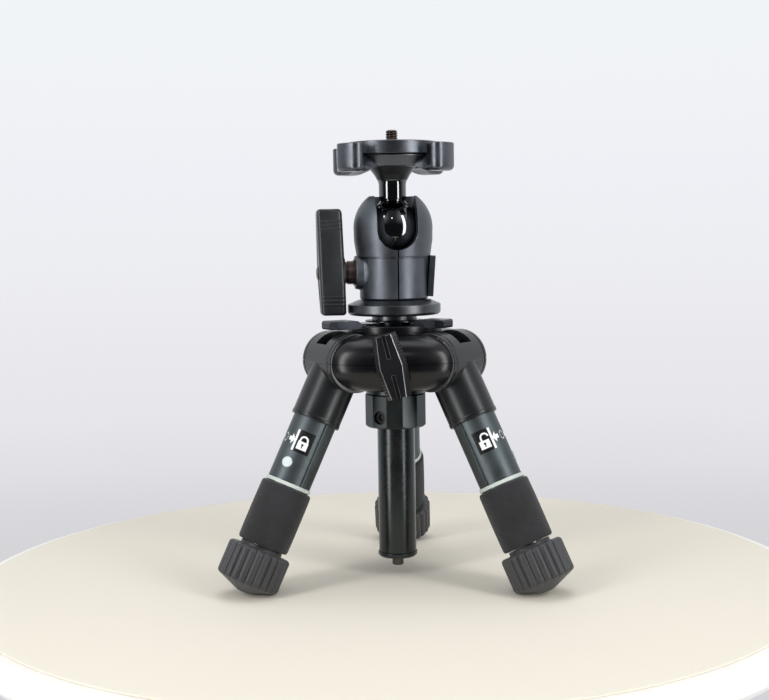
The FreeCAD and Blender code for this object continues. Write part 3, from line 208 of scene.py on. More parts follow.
# rounds each corner (radius, height, easing) of an outline
def eased(corners, closed=False, steps=5):
    points = []
    count = len(corners)
    for index, corner in enumerate(corners):
        here = Vector(corner[:2])
        ease = corner[2] if len(corner) > 2 else 0
        if ease <= 0 or (not closed and index in (0, count - 1)):
            points.append(here)
            continue
        before = (Vector(corners[index - 1][:2]) - here).normalized()
        after = (Vector(corners[(index + 1) % count][:2]) - here).normalized()
        half = before.angle(after) / 2
        middle = here + (before + after).normalized() * (ease / math.sin(half))
        start = here + before * (ease / math.tan(half)) - middle
        end = here + after * (ease / math.tan(half)) - middle
        points += [middle + start.normalized().slerp(end.normalized(), step / steps) * start.length
                   for step in range(steps + 1)]
    return points


# a radius below this many millimetres lies on the axis
onAxis = 1e-4


# turns an outline about Z
def lathe(name, corners, closed=False, sides=96, steps=5):
    line = eased(corners, closed, steps)
    runs = [0.0]
    for index in range(1, len(line) + 1):
        runs.append(runs[-1] + (line[index % len(line)] - line[index - 1]).length)
    points, rings = [], []
    for radius, height in line:
        if radius < onAxis:
            rings.append([len(points)] * sides)
            points.append((0, 0, height))
        else:
            rings.append([len(points) + side for side in range(sides)])
            points += [(radius * math.cos(math.tau * side / sides), radius * math.sin(math.tau * side / sides), height)
                       for side in range(sides)]
    around = max(radius for radius, height in line) * math.tau * mm / sides
    faces, wraps = [], []
    for low in range(len(line) if closed else len(line) - 1):
        high = (low + 1) % len(line)
        if line[low].x < onAxis and line[high].x < onAxis:
            continue
        for side in range(sides):
            beside = (side + 1) % sides
            loop = [rings[low][side], rings[low][beside], rings[high][beside], rings[high][side]]
            wrap = [(side * around, runs[low] * mm), ((side + 1) * around, runs[low] * mm),
                    ((side + 1) * around, runs[low + 1] * mm), (side * around, runs[low + 1] * mm)]
            if loop[0] == loop[1]:
                loop, wrap = loop[1:], wrap[1:]
            elif loop[2] == loop[3]:
                loop, wrap = loop[:3], wrap[:3]
            faces.append(loop)
            wraps.append(wrap)
    return outwards(newPiece(name, points, faces, wraps))


def rod(name, radius, low, high, sides=96):
    return lathe(name, [(0, low), (radius, low), (radius, high), (0, high)], sides=sides)


def rectangle(left, low, right, high):
    return [(left, low), (right, low), (right, high), (left, high)]


def arc(radius, angles, height=0):
    return [(radius * math.cos(math.radians(angle)), height + radius * math.sin(math.radians(angle)))
            for angle in angles]


# an even body on an outline of (x, y), from z = low to high, its ends rounded by ease
def slab(name, outline, low, high, ease=0.0, steps=3):
    levels = [(low, 0.0), (high, 0.0)]
    if ease:
        turns = [math.pi / 2 * step / steps for step in range(steps + 1)]
        levels = [(low + ease * (1 - math.sin(turn)), ease * (1 - math.cos(turn))) for turn in reversed(turns)]
        levels += [(high - ease * (1 - math.sin(turn)), ease * (1 - math.cos(turn))) for turn in turns]
    points, faces = [], []
    count = len(outline)
    flat = [Vector(corner) for corner in outline]
    area = sum(flat[i].x * flat[(i + 1) % count].y - flat[(i + 1) % count].x * flat[i].y for i in range(count))
    inward = []
    for index in range(count):
        back = (flat[index] - flat[index - 1]).normalized()
        ahead = (flat[(index + 1) % count] - flat[index]).normalized()
        side = Vector((-back.y - ahead.y, back.x + ahead.x)).normalized() * (1 if area > 0 else -1)
        bend = max(0.5, side.dot(Vector((-ahead.y, ahead.x)) * (1 if area > 0 else -1)))
        inward.append(side / bend)
    for height, inset in levels:
        points += [(flat[i].x + inward[i].x * inset, flat[i].y + inward[i].y * inset, height) for i in range(count)]
    for level in range(len(levels) - 1):
        for i in range(count):
            j = (i + 1) % count
            faces.append([level * count + i, level * count + j, (level + 1) * count + j, (level + 1) * count + i])
    faces.append(list(range(count)))
    faces.append([(len(levels) - 1) * count + i for i in range(count)])
    return outwards(newPiece(name, points, faces))


def outwards(piece):
    shape = bmesh.new()
    shape.from_mesh(piece.data)
    bmesh.ops.remove_doubles(shape, verts=shape.verts, dist=1e-5)
    bmesh.ops.recalc_face_normals(shape, faces=shape.faces)
    shape.to_mesh(piece.data)
    shape.free()
    return piece


def shift(piece, *moves):
    for move in moves:
        piece.data.transform(move)
    return piece


# bakes a piece's modifiers into its mesh
def applied(piece):
    graph = bpy.context.evaluated_depsgraph_get()
    mesh = bpy.data.meshes.new_from_object(piece.evaluated_get(graph), preserve_all_data_layers=True, depsgraph=graph)
    piece.modifiers.clear()
    piece.data = mesh
    return piece


def joinedPiece(name, *pieces):
    shape = bmesh.new()
    for piece in pieces:
        shape.from_mesh(piece.data)
    mesh = bpy.data.meshes.new(name)
    shape.to_mesh(mesh)
    shape.free()
    for piece in pieces:
        bpy.data.objects.remove(piece)
    made = bpy.data.objects.new(name, mesh)
    scene.collection.objects.link(made)
    return made


def carved(piece, how, *tools):
    for tool in tools:
        change = piece.modifiers.new("carve", "BOOLEAN")
        change.operation = how
        change.solver = "MANIFOLD"
        change.object = tool
    applied(piece)
    for tool in tools:
        bpy.data.objects.remove(tool)
    return piece


def edged(piece, width, angle=38, segments=2):
    change = piece.modifiers.new("edge", "BEVEL")
    change.width = width
    change.segments = segments
    change.limit_method = "ANGLE"
    change.angle_limit = math.radians(angle)
    change.use_clamp_overlap = True
    change.miter_outer = "MITER_ARC"
    return applied(piece)


# gives a piece its place, its even shading and its finish, and lets it ride
def settle(piece, body, look, place=Matrix(), replacing=(), sharp=32):
    piece.data.transform(Matrix.Scale(mm, 4) @ place)
    piece.data.shade_smooth()
    piece.data.set_sharp_from_angle(angle=math.radians(sharp))
    even = piece.modifiers.new("even", "WEIGHTED_NORMAL")
    even.keep_sharp = True
    applied(piece)
    piece.data.materials.clear()
    piece.data.materials.append(paint[look])
    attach(piece, body)
    if replacing:
        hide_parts(*replacing)
    return piece


def copyOf(piece, name):
    made = bpy.data.objects.new(name, piece.data.copy())
    scene.collection.objects.link(made)
    return made


# ---- geometry trees
def newTree(name, inputs):
    tree = bpy.data.node_groups.new(name, "GeometryNodeTree")
    tree.interface.new_socket("Mesh", in_out="INPUT", socket_type="NodeSocketGeometry")
    for label, value in inputs.items():
        kind = "NodeSocketInt" if isinstance(value, int) else "NodeSocketFloat"
        tree.interface.new_socket(label, in_out="INPUT", socket_type=kind).default_value = value
    tree.interface.new_socket("Mesh", in_out="OUTPUT", socket_type="NodeSocketGeometry")
    return tree, tree.nodes.new("NodeGroupInput")


def closeTree(tree, mesh, look):
    real = put(tree, "GeometryNodeRealizeInstances", {0: mesh}).outputs[0]
    dressed = put(tree, "GeometryNodeSetMaterial", {"Geometry": real, "Material": paint[look]}).outputs[0]
    put(tree, "NodeGroupOutput", {0: dressed})
    return tree


def grown(piece, tree, **values):
    change = piece.modifiers.new(tree.name, "NODES")
    change.node_group = tree
    for item in tree.interface.items_tree:
        if item.item_type == "SOCKET" and item.in_out == "INPUT" and item.name in values:
            change[item.identifier] = values[item.name]
    return applied(piece)


# splits a point's position into its distance from Z, its angle and its height
def polar(tree):
    spot = put(tree, "ShaderNodeSeparateXYZ", {0: put(tree, "GeometryNodeInputPosition").outputs[0]}).outputs
    reach = calc(tree, "SQRT", calc(tree, "ADD", calc(tree, "MULTIPLY", spot[0], spot[0]),
                                    calc(tree, "MULTIPLY", spot[1], spot[1])))
    return spot, reach, calc(tree, "ARCTAN2", spot[1], spot[0])


# moves each point to a new distance from Z and height
def setPolar(tree, mesh, spot, reach, newReach, newHeight):
    ratio = calc(tree, "DIVIDE", newReach, calc(tree, "MAXIMUM", reach, 0.001))
    goal = put(tree, "ShaderNodeCombineXYZ", {0: calc(tree, "MULTIPLY", spot[0], ratio),
                                              1: calc(tree, "MULTIPLY", spot[1], ratio), 2: newHeight}).outputs[0]
    return put(tree, "GeometryNodeSetPosition", {"Geometry": mesh, "Position": goal}).outputs[0]


# ---- shared places, as in the solids
hip = {"height": 115.0, "reach": 30.6, "half": 14.5, "tilt": 26.58, "offset": 1.1, "barrel": 15.2}
legSides = {"rear": 90, "left": 210, "right": 330}
tilt = math.radians(hip["tilt"])
hipUp = (hip["height"] + hip["offset"] * math.sin(tilt)) / math.cos(tilt)
headTurn = turned(10)
ballHeight = 183.55
leverHeight = 160.15


# a leg's frame, tilted like the leg: zero at the hinge, or where the leg's own axis meets the floor
def legPlace(side, floor=True):
    turn = math.radians(legSides[side])
    out = Vector((math.cos(turn), math.sin(turn), 0))
    place = (Matrix.Translation(out * hip["reach"] + Vector((0, 0, hip["height"])))
             @ Matrix.Rotation(turn, 4, "Z") @ Matrix.Rotation(-tilt, 4, "Y"))
    if floor:
        place = place @ placed(hip["offset"], 0, -hipUp)
    return place


# ---- column: tube, end plug, stub, insert, flange and stud
column = {"radius": 9.85, "bore": 8.45, "low": 12.5, "high": 134.35, "plug": 10.4, "stub": 3.0, "flange": 15.3,
          "flangeHigh": 135.1, "stud": 4.0, "studHigh": 143.95, "root": 127.35, "inside": 8.42, "studRoom": 4.02,
          "plugRoom": 3.05, "plugLow": 9.8, "plugHigh": 21.5}
settle(lathe("column_skin", [(column["bore"], column["low"], 0.2), (column["radius"], column["low"], 0.25),
                             (column["radius"], column["high"], 0.25), (column["bore"], column["high"], 0.2)],
             closed=True), "column", "column", replacing=["column_tube"])
settle(lathe("column_end", [(column["plugRoom"], column["plugLow"], 0.3), (9.4, column["plugLow"], 0.3),
                            (column["plug"], 10.8, 0.4), (column["plug"], 12.4, 0.3), (column["inside"], 12.4),
                            (column["inside"], column["plugHigh"]), (column["plugRoom"], column["plugHigh"])],
             closed=True),
       "column", "column", replacing=["column_plug"])
settle(lathe("column_stub", [(0, 5.4), (1.4, 5.4), (1.7, 4.8), (2.5, 4.8, 0.4), (column["stub"], 5.3, 0.3),
                             (column["stub"], 18.8), (0, 18.8)], sides=48),
       "column", "steel", replacing=["plug_screw"])
settle(lathe("top_insert", [(column["studRoom"], column["root"]), (column["inside"], column["root"], 0.3),
                            (column["inside"], column["high"]), (column["studRoom"], column["high"])], closed=True),
       "column", "steel", replacing=["column_insert"])
settle(lathe("column_top", [(column["studRoom"], column["high"] + 0.02),
                            (column["flange"], column["high"] + 0.02, 0.2),
                            (column["flange"], column["flangeHigh"], 0.25),
                            (column["studRoom"], column["flangeHigh"])], closed=True),
       "column", "column", replacing=["column_flange"])
settle(rod("head_bolt", column["stud"], column["root"], column["studHigh"], sides=48),
       "column", "steel", replacing=["head_stud"])
print("column done")

# ---- spider: two shells that meet at a level line
spider = {"lobe": 14.7, "lobeHalf": 32.7, "crown": 3.0, "reach": 27.86, "rim": 15.0, "rimDepth": 2.3, "hub": 24.5,
          "hubLow": 110, "hubTop": 133.0, "split": 115.4, "seam": 0.12, "lowHub": 17.0, "lowHubLow": 100.4,
          "lowHubTop": 120, "hipClear": 15.55, "slotFloor": 131.0, "slotHalf": 8.2, "columnClear": 12.1}
lobeTurns = (270, 30, 150)


# one shell: its hub, the lobes and the hips' rims, kept between two heights; also returns what both shells leave free
def spiderBlock(name, radius, hubLow, hubHigh, low, high):
    made = lathe(name, [(0, hubLow), (radius, hubLow, 1.0), (radius, hubHigh, 0.6), (0, hubHigh)], sides=128)
    level = placed(0, 0, hip["height"])
    power = 2 / spider["crown"]
    swollen = []
    for step in range(-24, 25):
        lean = math.pi / 48 * step
        swollen.append((spider["lobe"] * max(0.0, math.cos(lean)) ** power,
                        math.copysign(spider["lobeHalf"] * abs(math.sin(lean)) ** power, step)))
    swollen[0], swollen[-1] = (0, -spider["lobeHalf"]), (0, spider["lobeHalf"])
    parts = [shift(lathe("capsule", swollen, sides=96),
                   level @ turned(turn) @ placed(spider["reach"], 0, 0) @ turned(90, "X")) for turn in lobeTurns]
    rim = [(0, hip["half"] - 1), (spider["rim"], hip["half"] - 1),
           (spider["rim"], hip["half"] + spider["rimDepth"], 0.5), (0, hip["half"] + spider["rimDepth"])]
    for turn in legSides.values():
        for side in (-1, 1):
            parts.append(shift(lathe("disc", rim, sides=96),
                               level @ turned(turn) @ placed(hip["reach"], 0, 0) @ turned(-90 * side, "X")))
    carved(made, "UNION", *parts)
    carved(made, "INTERSECT", slab("keep", rectangle(-90, -90, 90, 90), low, high))
    tools = []
    for turn in legSides.values():
        place = turned(turn) @ placed(hip["reach"], 0, hip["height"])
        tools.append(shift(rod("barrelRoom", spider["hipClear"], -hip["half"], hip["half"]), place @ turned(90, "X")))
        tools.append(shift(slab("well", rectangle(-spider["hipClear"], -hip["half"], 25, hip["half"]), -25, 0), place))
    tools.append(rod("sleeveRoom", spider["columnClear"], 90, 140))
    return made, tools


upper, upperTools = spiderBlock("spider_upper", spider["hub"], spider["hubLow"], spider["hubTop"],
                                spider["split"] + spider["seam"], 150)
for turn in legSides.values():
    room = slab("plateRoom", rectangle(10.6, -spider["slotHalf"], 40, spider["slotHalf"]), spider["slotFloor"], 150)
    upperTools.append(shift(room, turned(turn)))
carved(upper, "DIFFERENCE", *upperTools)
settle(edged(upper, 0.3), "spider", "shell", replacing=["upper_shell"])
lower, lowerTools = spiderBlock("spider_lower", spider["lowHub"], spider["lowHubLow"], spider["lowHubTop"],
                                90, spider["split"] - spider["seam"])
screwSpots = [turned(turn) @ Vector((spider["reach"], along, 0)) for turn in lobeTurns for along in (-11.5, 11.5)]
for spot in screwSpots:
    lowerTools.append(shift(rod("screwRoom", 2.8, 95, 104, sides=32), Matrix.Translation(spot)))
carved(lower, "DIFFERENCE", *lowerTools)
settle(edged(lower, 0.3), "spider", "shell", replacing=["lower_shell"])

# hexagon socket screws under the lobes, one on each point
tree, given = newTree("socketScrews", {"Head Radius": 2.7, "Head Height": 2.4, "Socket": 1.35, "Depth": 1.5})
head = put(tree, "GeometryNodeMeshCylinder", {"Vertices": 32, "Radius": given.outputs["Head Radius"],
                                              "Depth": given.outputs["Head Height"]}).outputs[0]
drop = put(tree, "ShaderNodeCombineXYZ", {2: calc(tree, "MULTIPLY", given.outputs["Head Height"], -0.5)}).outputs[0]
hexagon = put(tree, "GeometryNodeMeshCylinder", {"Vertices": 6, "Radius": given.outputs["Socket"],
                                                 "Depth": given.outputs["Depth"]}).outputs[0]
hexagon = put(tree, "GeometryNodeTransform", {"Geometry": hexagon, "Translation": drop}).outputs[0]
socketHead = put(tree, "GeometryNodeMeshBoolean", {0: head, 1: hexagon}, operation="DIFFERENCE").outputs[0]
spots = put(tree, "GeometryNodeInstanceOnPoints", {"Points": given.outputs["Mesh"], "Instance": socketHead})
closeTree(tree, spots.outputs[0], "steel")
screws = newPiece("shell_bolts", [(spot.x, spot.y, 102.8) for spot in screwSpots], [])
settle(grown(screws, tree), "spider", "steel", replacing=["shell_screws"])

sleeve = {"bore": 9.97, "skin": 12.07, "lip": 15.3, "low": 79.2, "lipLow": 96.6, "lipHigh": 100.4, "high": 130.0}
settle(lathe("column_guide", [(sleeve["bore"], sleeve["low"], 0.2), (sleeve["skin"], sleeve["low"]),
                              (sleeve["skin"], sleeve["lipLow"]), (sleeve["lip"], sleeve["lipLow"], 0.35),
                              (sleeve["lip"], sleeve["lipHigh"]), (sleeve["skin"], sleeve["lipHigh"]),
                              (sleeve["skin"], sleeve["high"]), (sleeve["bore"], sleeve["high"])], closed=True),
       "spider", "collar", replacing=["column_sleeve"])
collar = {"flats": 12, "radius": 15.7, "low": 79.2, "high": 96.2, "port": 3.5, "portHeight": 85.0, "portTurn": 240}
corner = collar["radius"] / math.cos(math.pi / collar["flats"])
ring = slab("sleeve_nut", [(corner * math.cos(math.tau * (side + 0.5) / collar["flats"]),
                            corner * math.sin(math.tau * (side + 0.5) / collar["flats"]))
                           for side in range(collar["flats"])], collar["low"], collar["high"])
bevelled = lathe("bevelled", [(0, 78), (13.7, 78), (corner + 1.2, 81.5), (corner + 1.2, 97), (0, 97)])
carved(ring, "INTERSECT", bevelled)
portPlace = placed(0, 0, collar["portHeight"]) @ turned(collar["portTurn"]) @ turned(90, "Y")
port = shift(rod("port", collar["port"], 0, 20, sides=48), portPlace @ placed(0, 0, spider["columnClear"]))
carved(ring, "DIFFERENCE", port, rod("guideRoom", spider["columnClear"], 70, 110))
settle(edged(ring, 0.3, angle=20), "spider", "collar", replacing=["sleeve_collar"], sharp=20)
# the set screw takes the near black flank paint, painted shade deep in its port
setScrew = lathe("port_screw", [(0, 0), (3.45, 0), (3.45, 1.8, 0.3), (1.7, 1.8), (1.5, 0.6), (0, 0.6)], sides=48)
settle(setScrew, "spider", "flank", place=portPlace @ placed(0, 0, 12.15), replacing=["collar_screw"])
print("spider done")


# ---- clamp knob: a six cornered paddle with fluted flanks
def loft(name, levels):
    points = [(p[0], p[1], height) for outline, height in levels for p in outline]
    count = len(levels[0][0])
    faces = [[level * count + i, level * count + (i + 1) % count, (level + 1) * count + (i + 1) % count,
              (level + 1) * count + i] for level in range(len(levels) - 1) for i in range(count)]
    faces += [list(range(count)), [(len(levels) - 1) * count + i for i in range(count)]]
    return outwards(newPiece(name, points, faces))


flutes, given = newTree("flutes", {"Pitch": 2.8, "Depth": 0.5, "Low Start": -99.0, "Low Stop": -99.0,
                                   "High Start": 99.0, "High Stop": 99.0, "Fade Low": 0.0, "Fade High": 6.0})
spot = polar(flutes)[0]
wave = calc(flutes, "COSINE", calc(flutes, "DIVIDE", calc(flutes, "MULTIPLY", spot[1], math.tau),
                                   given.outputs["Pitch"]))
ridge = calc(flutes, "POWER", calc(flutes, "MAXIMUM", wave, 0.0), 0.7)
bands = [calc(flutes, "MULTIPLY", calc(flutes, "GREATER_THAN", spot[1], given.outputs[word + " Start"]),
              calc(flutes, "LESS_THAN", spot[1], given.outputs[word + " Stop"])) for word in ("Low", "High")]
inside = calc(flutes, "ADD", bands[0], bands[1])
fade = spread(flutes, spot[2], given.outputs["Fade Low"], given.outputs["Fade High"], 1.0, 0.0)
push = calc(flutes, "MULTIPLY", calc(flutes, "MULTIPLY", ridge, inside),
            calc(flutes, "MULTIPLY", fade, given.outputs["Depth"]))
pushed = calc(flutes, "MULTIPLY_ADD", calc(flutes, "SIGN", spot[0]), push, spot[0])
goal = put(flutes, "ShaderNodeCombineXYZ", {0: pushed, 1: spot[1], 2: spot[2]}).outputs[0]
fluted = put(flutes, "GeometryNodeSetPosition", {"Geometry": given.outputs["Mesh"], "Position": goal}).outputs[0]
closeTree(flutes, fluted, "plastic")

paddle = {"half": 15.75, "middle": 5.7, "end": 3.85, "lean": 13.5, "back": -43.06}


def hexLevel(height, half, middle, end):
    corners = [(-end, -half), (end, -half), (middle, 0), (end, half), (-end, half), (-middle, 0)]
    points = []
    for index in range(6):
        here, there = Vector(corners[index]), Vector(corners[(index + 1) % 6])
        pieces = 10 if index in (0, 3) else 90
        points += [here.lerp(there, k / pieces) for k in range(pieces)]
    return points, height


# height of each level and how far it stands out
paddleLevels = ((0, 1.5), (0.5, 2.1), (2.4, 1.9), (4.2, 1.0), (6.0, 0.3), (6.95, 0.0), (7.2, -0.08), (7.4, -0.35))
knob = loft("clamp_paddle", [hexLevel(height, paddle["half"] + extra * 0.25, paddle["middle"] + extra,
                                      paddle["end"] + extra) for height, extra in paddleLevels])
grown(knob, flutes, Pitch=1.55, Depth=0.4, **{"Low Start": -14.8, "Low Stop": -1.0, "High Start": 1.0,
                                              "High Stop": 14.8, "Fade Low": 3.4, "Fade High": 6.2})
carved(knob, "DIFFERENCE", *[slab("groove", rectangle(-0.75, low, 0.75, high), 6.5, 9)
                             for low, high in ((4.25, 17.0), (-17.0, -4.25))])
edged(knob, 0.22, angle=60)
knobPlace = placed(0, paddle["back"], hip["height"]) @ turned(-paddle["lean"], "Y") @ turned(90, "X")
settle(knob, "clamp_knob", "flank", place=knobPlace, replacing=["wing_knob"], sharp=28)
# on the knob's side turned to the camera, the rounded rims take the pale polished paint as painted highlight and the
# flat face takes the print black as painted shade
for extra in ("paintedHighlight", "ink"):
    knob.data.materials.append(paint[extra])
front = Vector((0, -1, 0))
for face in knob.data.polygons:
    lean = face.normal.dot(front)
    ahead = face.center.y < (paddle["back"] - 6.9) * mm
    face.material_index = 0 if not ahead or lean < 0.15 else 2 if lean > 0.985 else 1
# painted highlight lines along both sides of a groove and across its end
paintedHighlight = {"half": 0.1, "away": 0.9, "near": 4.1, "far": 15.5, "low": 7.38, "high": 7.46}
lines = []
for sign in (-1, 1):
    low, high = sorted((paintedHighlight["near"] * sign, paintedHighlight["far"] * sign))
    lines += [slab("line", rectangle(x - paintedHighlight["half"], low, x + paintedHighlight["half"], high), paintedHighlight["low"], paintedHighlight["high"])
              for x in (-paintedHighlight["away"], paintedHighlight["away"])]
    end = paintedHighlight["near"] * sign
    lines.append(slab("line", rectangle(-1.0, end - paintedHighlight["half"], 1.0, end + paintedHighlight["half"]), paintedHighlight["low"], paintedHighlight["high"]))
settle(joinedPiece("knob_highlight_lines", *lines), "clamp_knob", "paintedHighlight", place=knobPlace)
print("clamp knob done")

# ---- angle lock plates: a thick tab outside the hub and a thin tongue inside it
plate = {"inner": 18.2, "outer": 39.8, "half": 8.0, "corner": 3.4, "low": 131.6, "high": 135.8, "tongue": 133.2,
         "rampStart": 21.5, "rampEnd": 25.0, "chamfer": 0.9, "pushed": 7.2}
for side, turn in legSides.items():
    inner, outer, half, corner = plate["inner"], plate["outer"], plate["half"], plate["corner"]
    outline = [(inner, corner - half), (inner + corner, -half), (outer - corner, -half), (outer, corner - half),
               (outer, half - corner), (outer - corner, half), (inner + corner, half), (inner, half - corner)]
    tab = slab("lock_tab_" + side, outline, plate["low"], plate["high"])
    inside, edge = inner - 1, outer - plate["chamfer"]
    fromSide = [(inside, plate["low"]), (edge, plate["low"]), (outer, plate["low"] + plate["chamfer"]),
                (outer, plate["high"] - plate["chamfer"]), (edge, plate["high"]), (plate["rampEnd"], plate["high"]),
                (plate["rampStart"], plate["tongue"]), (inside, plate["tongue"])]
    carved(tab, "INTERSECT", shift(slab("tabSide", fromSide, -12, 12), turned(90, "X")))
    edged(tab, 0.45, angle=20, segments=3)
    travel = plate["pushed"] if side == "right" else 0
    settle(tab, "plate_" + side, "plate", replacing=["lock_plate_" + side], sharp=40,
           place=turned(turn) @ placed(-travel, 0, 0))
print("plates done")

# ---- legs
leg = {"socket": 12.65, "socketLow": 95.2, "tube": 11.22, "bore": 10.02, "tubeLow": 27.4, "tubeHigh": 107.64,
       "groove": 0.5, "grooveTurn": 97, "ring": 60.35, "ringHigh": 1.9, "ringOut": 12.0, "gripLow": 27.2,
       "gripHigh": 59.0, "grip": 13.2, "dot": 70.5, "dotTurn": 39, "dotRadius": 2.7, "notchDeep": 2.2,
       "castingHalf": 14.15, "wrap": 0.0112, "gap": 0.12, "wall": 1.15}


def castingBlank():
    half, low, deep = leg["castingHalf"], leg["socketLow"] - hipUp, hip["barrel"] - leg["notchDeep"]
    barrel = lathe("casting", [(0, -half), (hip["barrel"], -half, 1.1), (hip["barrel"], half, 1.1), (0, half)],
                   sides=128)
    shift(barrel, turned(90, "X"))
    socket = lathe("socket", [(0, low), (11.3, low), (12.75, low, 0.5), (12.85, low + 1.8, 0.15),
                              (leg["socket"], low + 2.3), (leg["socket"], 0), (0, 0)], sides=128)
    carved(barrel, "UNION", shift(socket, placed(hip["offset"], 0, 0)))
    track = arc(20, range(12, 79, 3)) + arc(deep, range(78, 11, -3))
    tools = [shift(slab("track", track, -6, 6), turned(90, "X"))]
    for x, z in arc(deep, (68, 45, 22)):
        tools.append(shift(rod("tooth", 2.6, -6, 6, sides=32), placed(x, 0, z) @ turned(90, "X")))
    carved(barrel, "DIFFERENCE", *tools)
    return edged(barrel, 0.3, angle=30)


def tubeBlank():
    ring = []
    marks = [math.radians(leg["grooveTurn"]) * sign for sign in (-1, 1)]
    aside = (-3.2, -2.6, -1.6, 0, 1.6, 2.6, 3.2)
    angles = sorted(set([math.tau * k / 120 - math.pi for k in range(120)]
                        + [mark + math.radians(step) for mark in marks for step in aside]))
    for angle in angles:
        away = min(abs(angle - mark) for mark in marks)
        radius = leg["tube"] - leg["groove"] * max(0.0, 1 - (away / math.radians(2.7)) ** 2)
        ring.append((radius * math.cos(angle), radius * math.sin(angle)))
    inner = [(leg["bore"] * math.cos(angle), leg["bore"] * math.sin(angle)) for angle in angles]
    count = len(angles)
    low, high = leg["tubeLow"], leg["tubeHigh"]
    points = [(x, y, height) for circle, height in ((ring, low), (ring, high), (inner, high), (inner, low))
              for x, y in circle]
    faces, wraps = [], []
    for level in range(4):
        above = (level + 1) % 4
        for i in range(count):
            j = (i + 1) % count
            faces.append([level * count + i, level * count + j, above * count + j, above * count + i])
            u, v = angles[i] * leg["wrap"], (angles[j] if j else angles[0] + math.tau) * leg["wrap"]
            wraps.append([(u, low * mm), (v, low * mm), (v, high * mm), (u, high * mm)])
    return outwards(newPiece("tube", points, faces, wraps))


# foam: the skin is pushed in and out a little by fine noise
foamSkin, given = newTree("foamSkin", {"Amount": 0.16, "Size": 1.6, "Seed": 3.0})
noise = put(foamSkin, "ShaderNodeTexNoise", {"W": given.outputs["Seed"], "Detail": 2.0,
                                             "Scale": calc(foamSkin, "DIVIDE", 1.0, given.outputs["Size"])},
            noise_dimensions="4D").outputs[0]
length = calc(foamSkin, "MULTIPLY", calc(foamSkin, "SUBTRACT", noise, 0.5), given.outputs["Amount"])
away = put(foamSkin, "ShaderNodeVectorMath", {0: put(foamSkin, "GeometryNodeInputNormal").outputs[0], "Scale": length},
           operation="SCALE").outputs[0]
pushed = put(foamSkin, "GeometryNodeSetPosition", {"Geometry": given.outputs["Mesh"], "Offset": away}).outputs[0]
closeTree(foamSkin, pushed, "foam")

# foot: ribs round a drum that fade out on its cone
footRibs, given = newTree("footRibs", {"Ribs": 24, "Depth": 1.0, "Fade Low": 5.2, "Fade High": 8.8, "Inner": 12.2,
                                       "Outer": 14.8})
spot, reach, turn = polar(footRibs)
halfTurns = calc(footRibs, "MULTIPLY", given.outputs["Ribs"], 0.5)
wave = calc(footRibs, "ABSOLUTE", calc(footRibs, "SINE", calc(footRibs, "MULTIPLY", turn, halfTurns)))
valley = calc(footRibs, "SUBTRACT", 1.0, calc(footRibs, "POWER", wave, 0.62))
lowFade = spread(footRibs, spot[2], given.outputs["Fade Low"], given.outputs["Fade High"], 0.0, 1.0, True)
topFade = spread(footRibs, reach, given.outputs["Inner"], given.outputs["Outer"], 0.0, 1.0, True)
fade = calc(footRibs, "MULTIPLY", lowFade, topFade)
dip = calc(footRibs, "MULTIPLY", calc(footRibs, "MULTIPLY", valley, fade), given.outputs["Depth"])
newReach = calc(footRibs, "SUBTRACT", reach, dip)
closeTree(footRibs, setPolar(footRibs, given.outputs["Mesh"], spot, reach, newReach, spot[2]), "rubber")


# flat signs (across, along) laid round the tube
def printed(name, shapes, lift):
    flat = bmesh.new()
    for shape in shapes:
        flat.faces.new([flat.verts.new((across, along, 0)) for across, along in shape])
    for step in range(-24, 25):
        geometry = list(flat.verts) + list(flat.edges) + list(flat.faces)
        bmesh.ops.bisect_plane(flat, geom=geometry, plane_co=(step * 0.7, 0, 0), plane_no=(1, 0, 0))
    for vert in flat.verts:
        turn = vert.co.x / leg["tube"]
        height = vert.co.y
        vert.co = ((leg["tube"] + lift) * math.cos(turn), (leg["tube"] + lift) * math.sin(turn), height)
    mesh = bpy.data.meshes.new(name)
    flat.to_mesh(mesh)
    flat.free()
    made = bpy.data.objects.new(name, mesh)
    scene.collection.objects.link(made)
    return made


def block(across, along, wide, tall):
    return rectangle(across - wide / 2, along - tall / 2, across + wide / 2, along + tall / 2)


def bow(across, along, outer, inner, start, stop, steps=12):
    made = []
    for step in range(steps):
        a, b = (math.radians(start + (stop - start) * k / steps) for k in (step, step + 1))
        made.append([(across + outer * math.cos(a), along + outer * math.sin(a)),
                     (across + outer * math.cos(b), along + outer * math.sin(b)),
                     (across + inner * math.cos(b), along + inner * math.sin(b)),
                     (across + inner * math.cos(a), along + inner * math.sin(a))])
    return made


sign = {"up": 82.4, "lock": 59, "arrow": 25.5, "bar": 36.5}


def signShapes():
    perTurn = leg["tube"] * math.pi / 180
    up = sign["up"]
    black, white, holes = [], [], []
    for way, shut in ((1, True), (-1, False)):
        lock = sign["lock"] * perTurn * way
        black.append(block(lock + 0.5 * way, up, 8.2, 11.4))
        white.append(block(lock, up - 1.9, 5.4, 4.2))
        bend = lock if shut else lock - 0.9 * way
        rise = up + (0.9 if shut else 1.7)
        white += bow(bend, rise, 2.35, 1.45, 0, 180)
        white.append(block(bend - 1.9, (up + 0.2 + rise) / 2, 0.9, rise - up - 0.2))
        if shut:
            white.append(block(bend + 1.9, (up + 0.2 + rise) / 2, 0.9, rise - up - 0.2))
        holes += bow(lock, up - 1.5, 0.62, 0.01, 0, 360)
        holes.append(block(lock, up - 2.4, 0.55, 1.5))
        white.append(block(sign["bar"] * perTurn * way, up, 1.2, 11.0))
        arrow = sign["arrow"] * perTurn * way
        white.append(block(arrow - 1.1 * way, up, 2.0, 2.2))
        white.append([(arrow - 0.3 * way, up - 2.7), (arrow + 1.9 * way, up), (arrow - 0.3 * way, up + 2.7)][::way])
    for step in range(10):
        turn = math.tau * step / 10
        white += bow(1.5 * math.cos(turn), up + 2.1 * math.sin(turn), 0.36, 0.01, 0, 360, steps=6)
    return black, white, holes


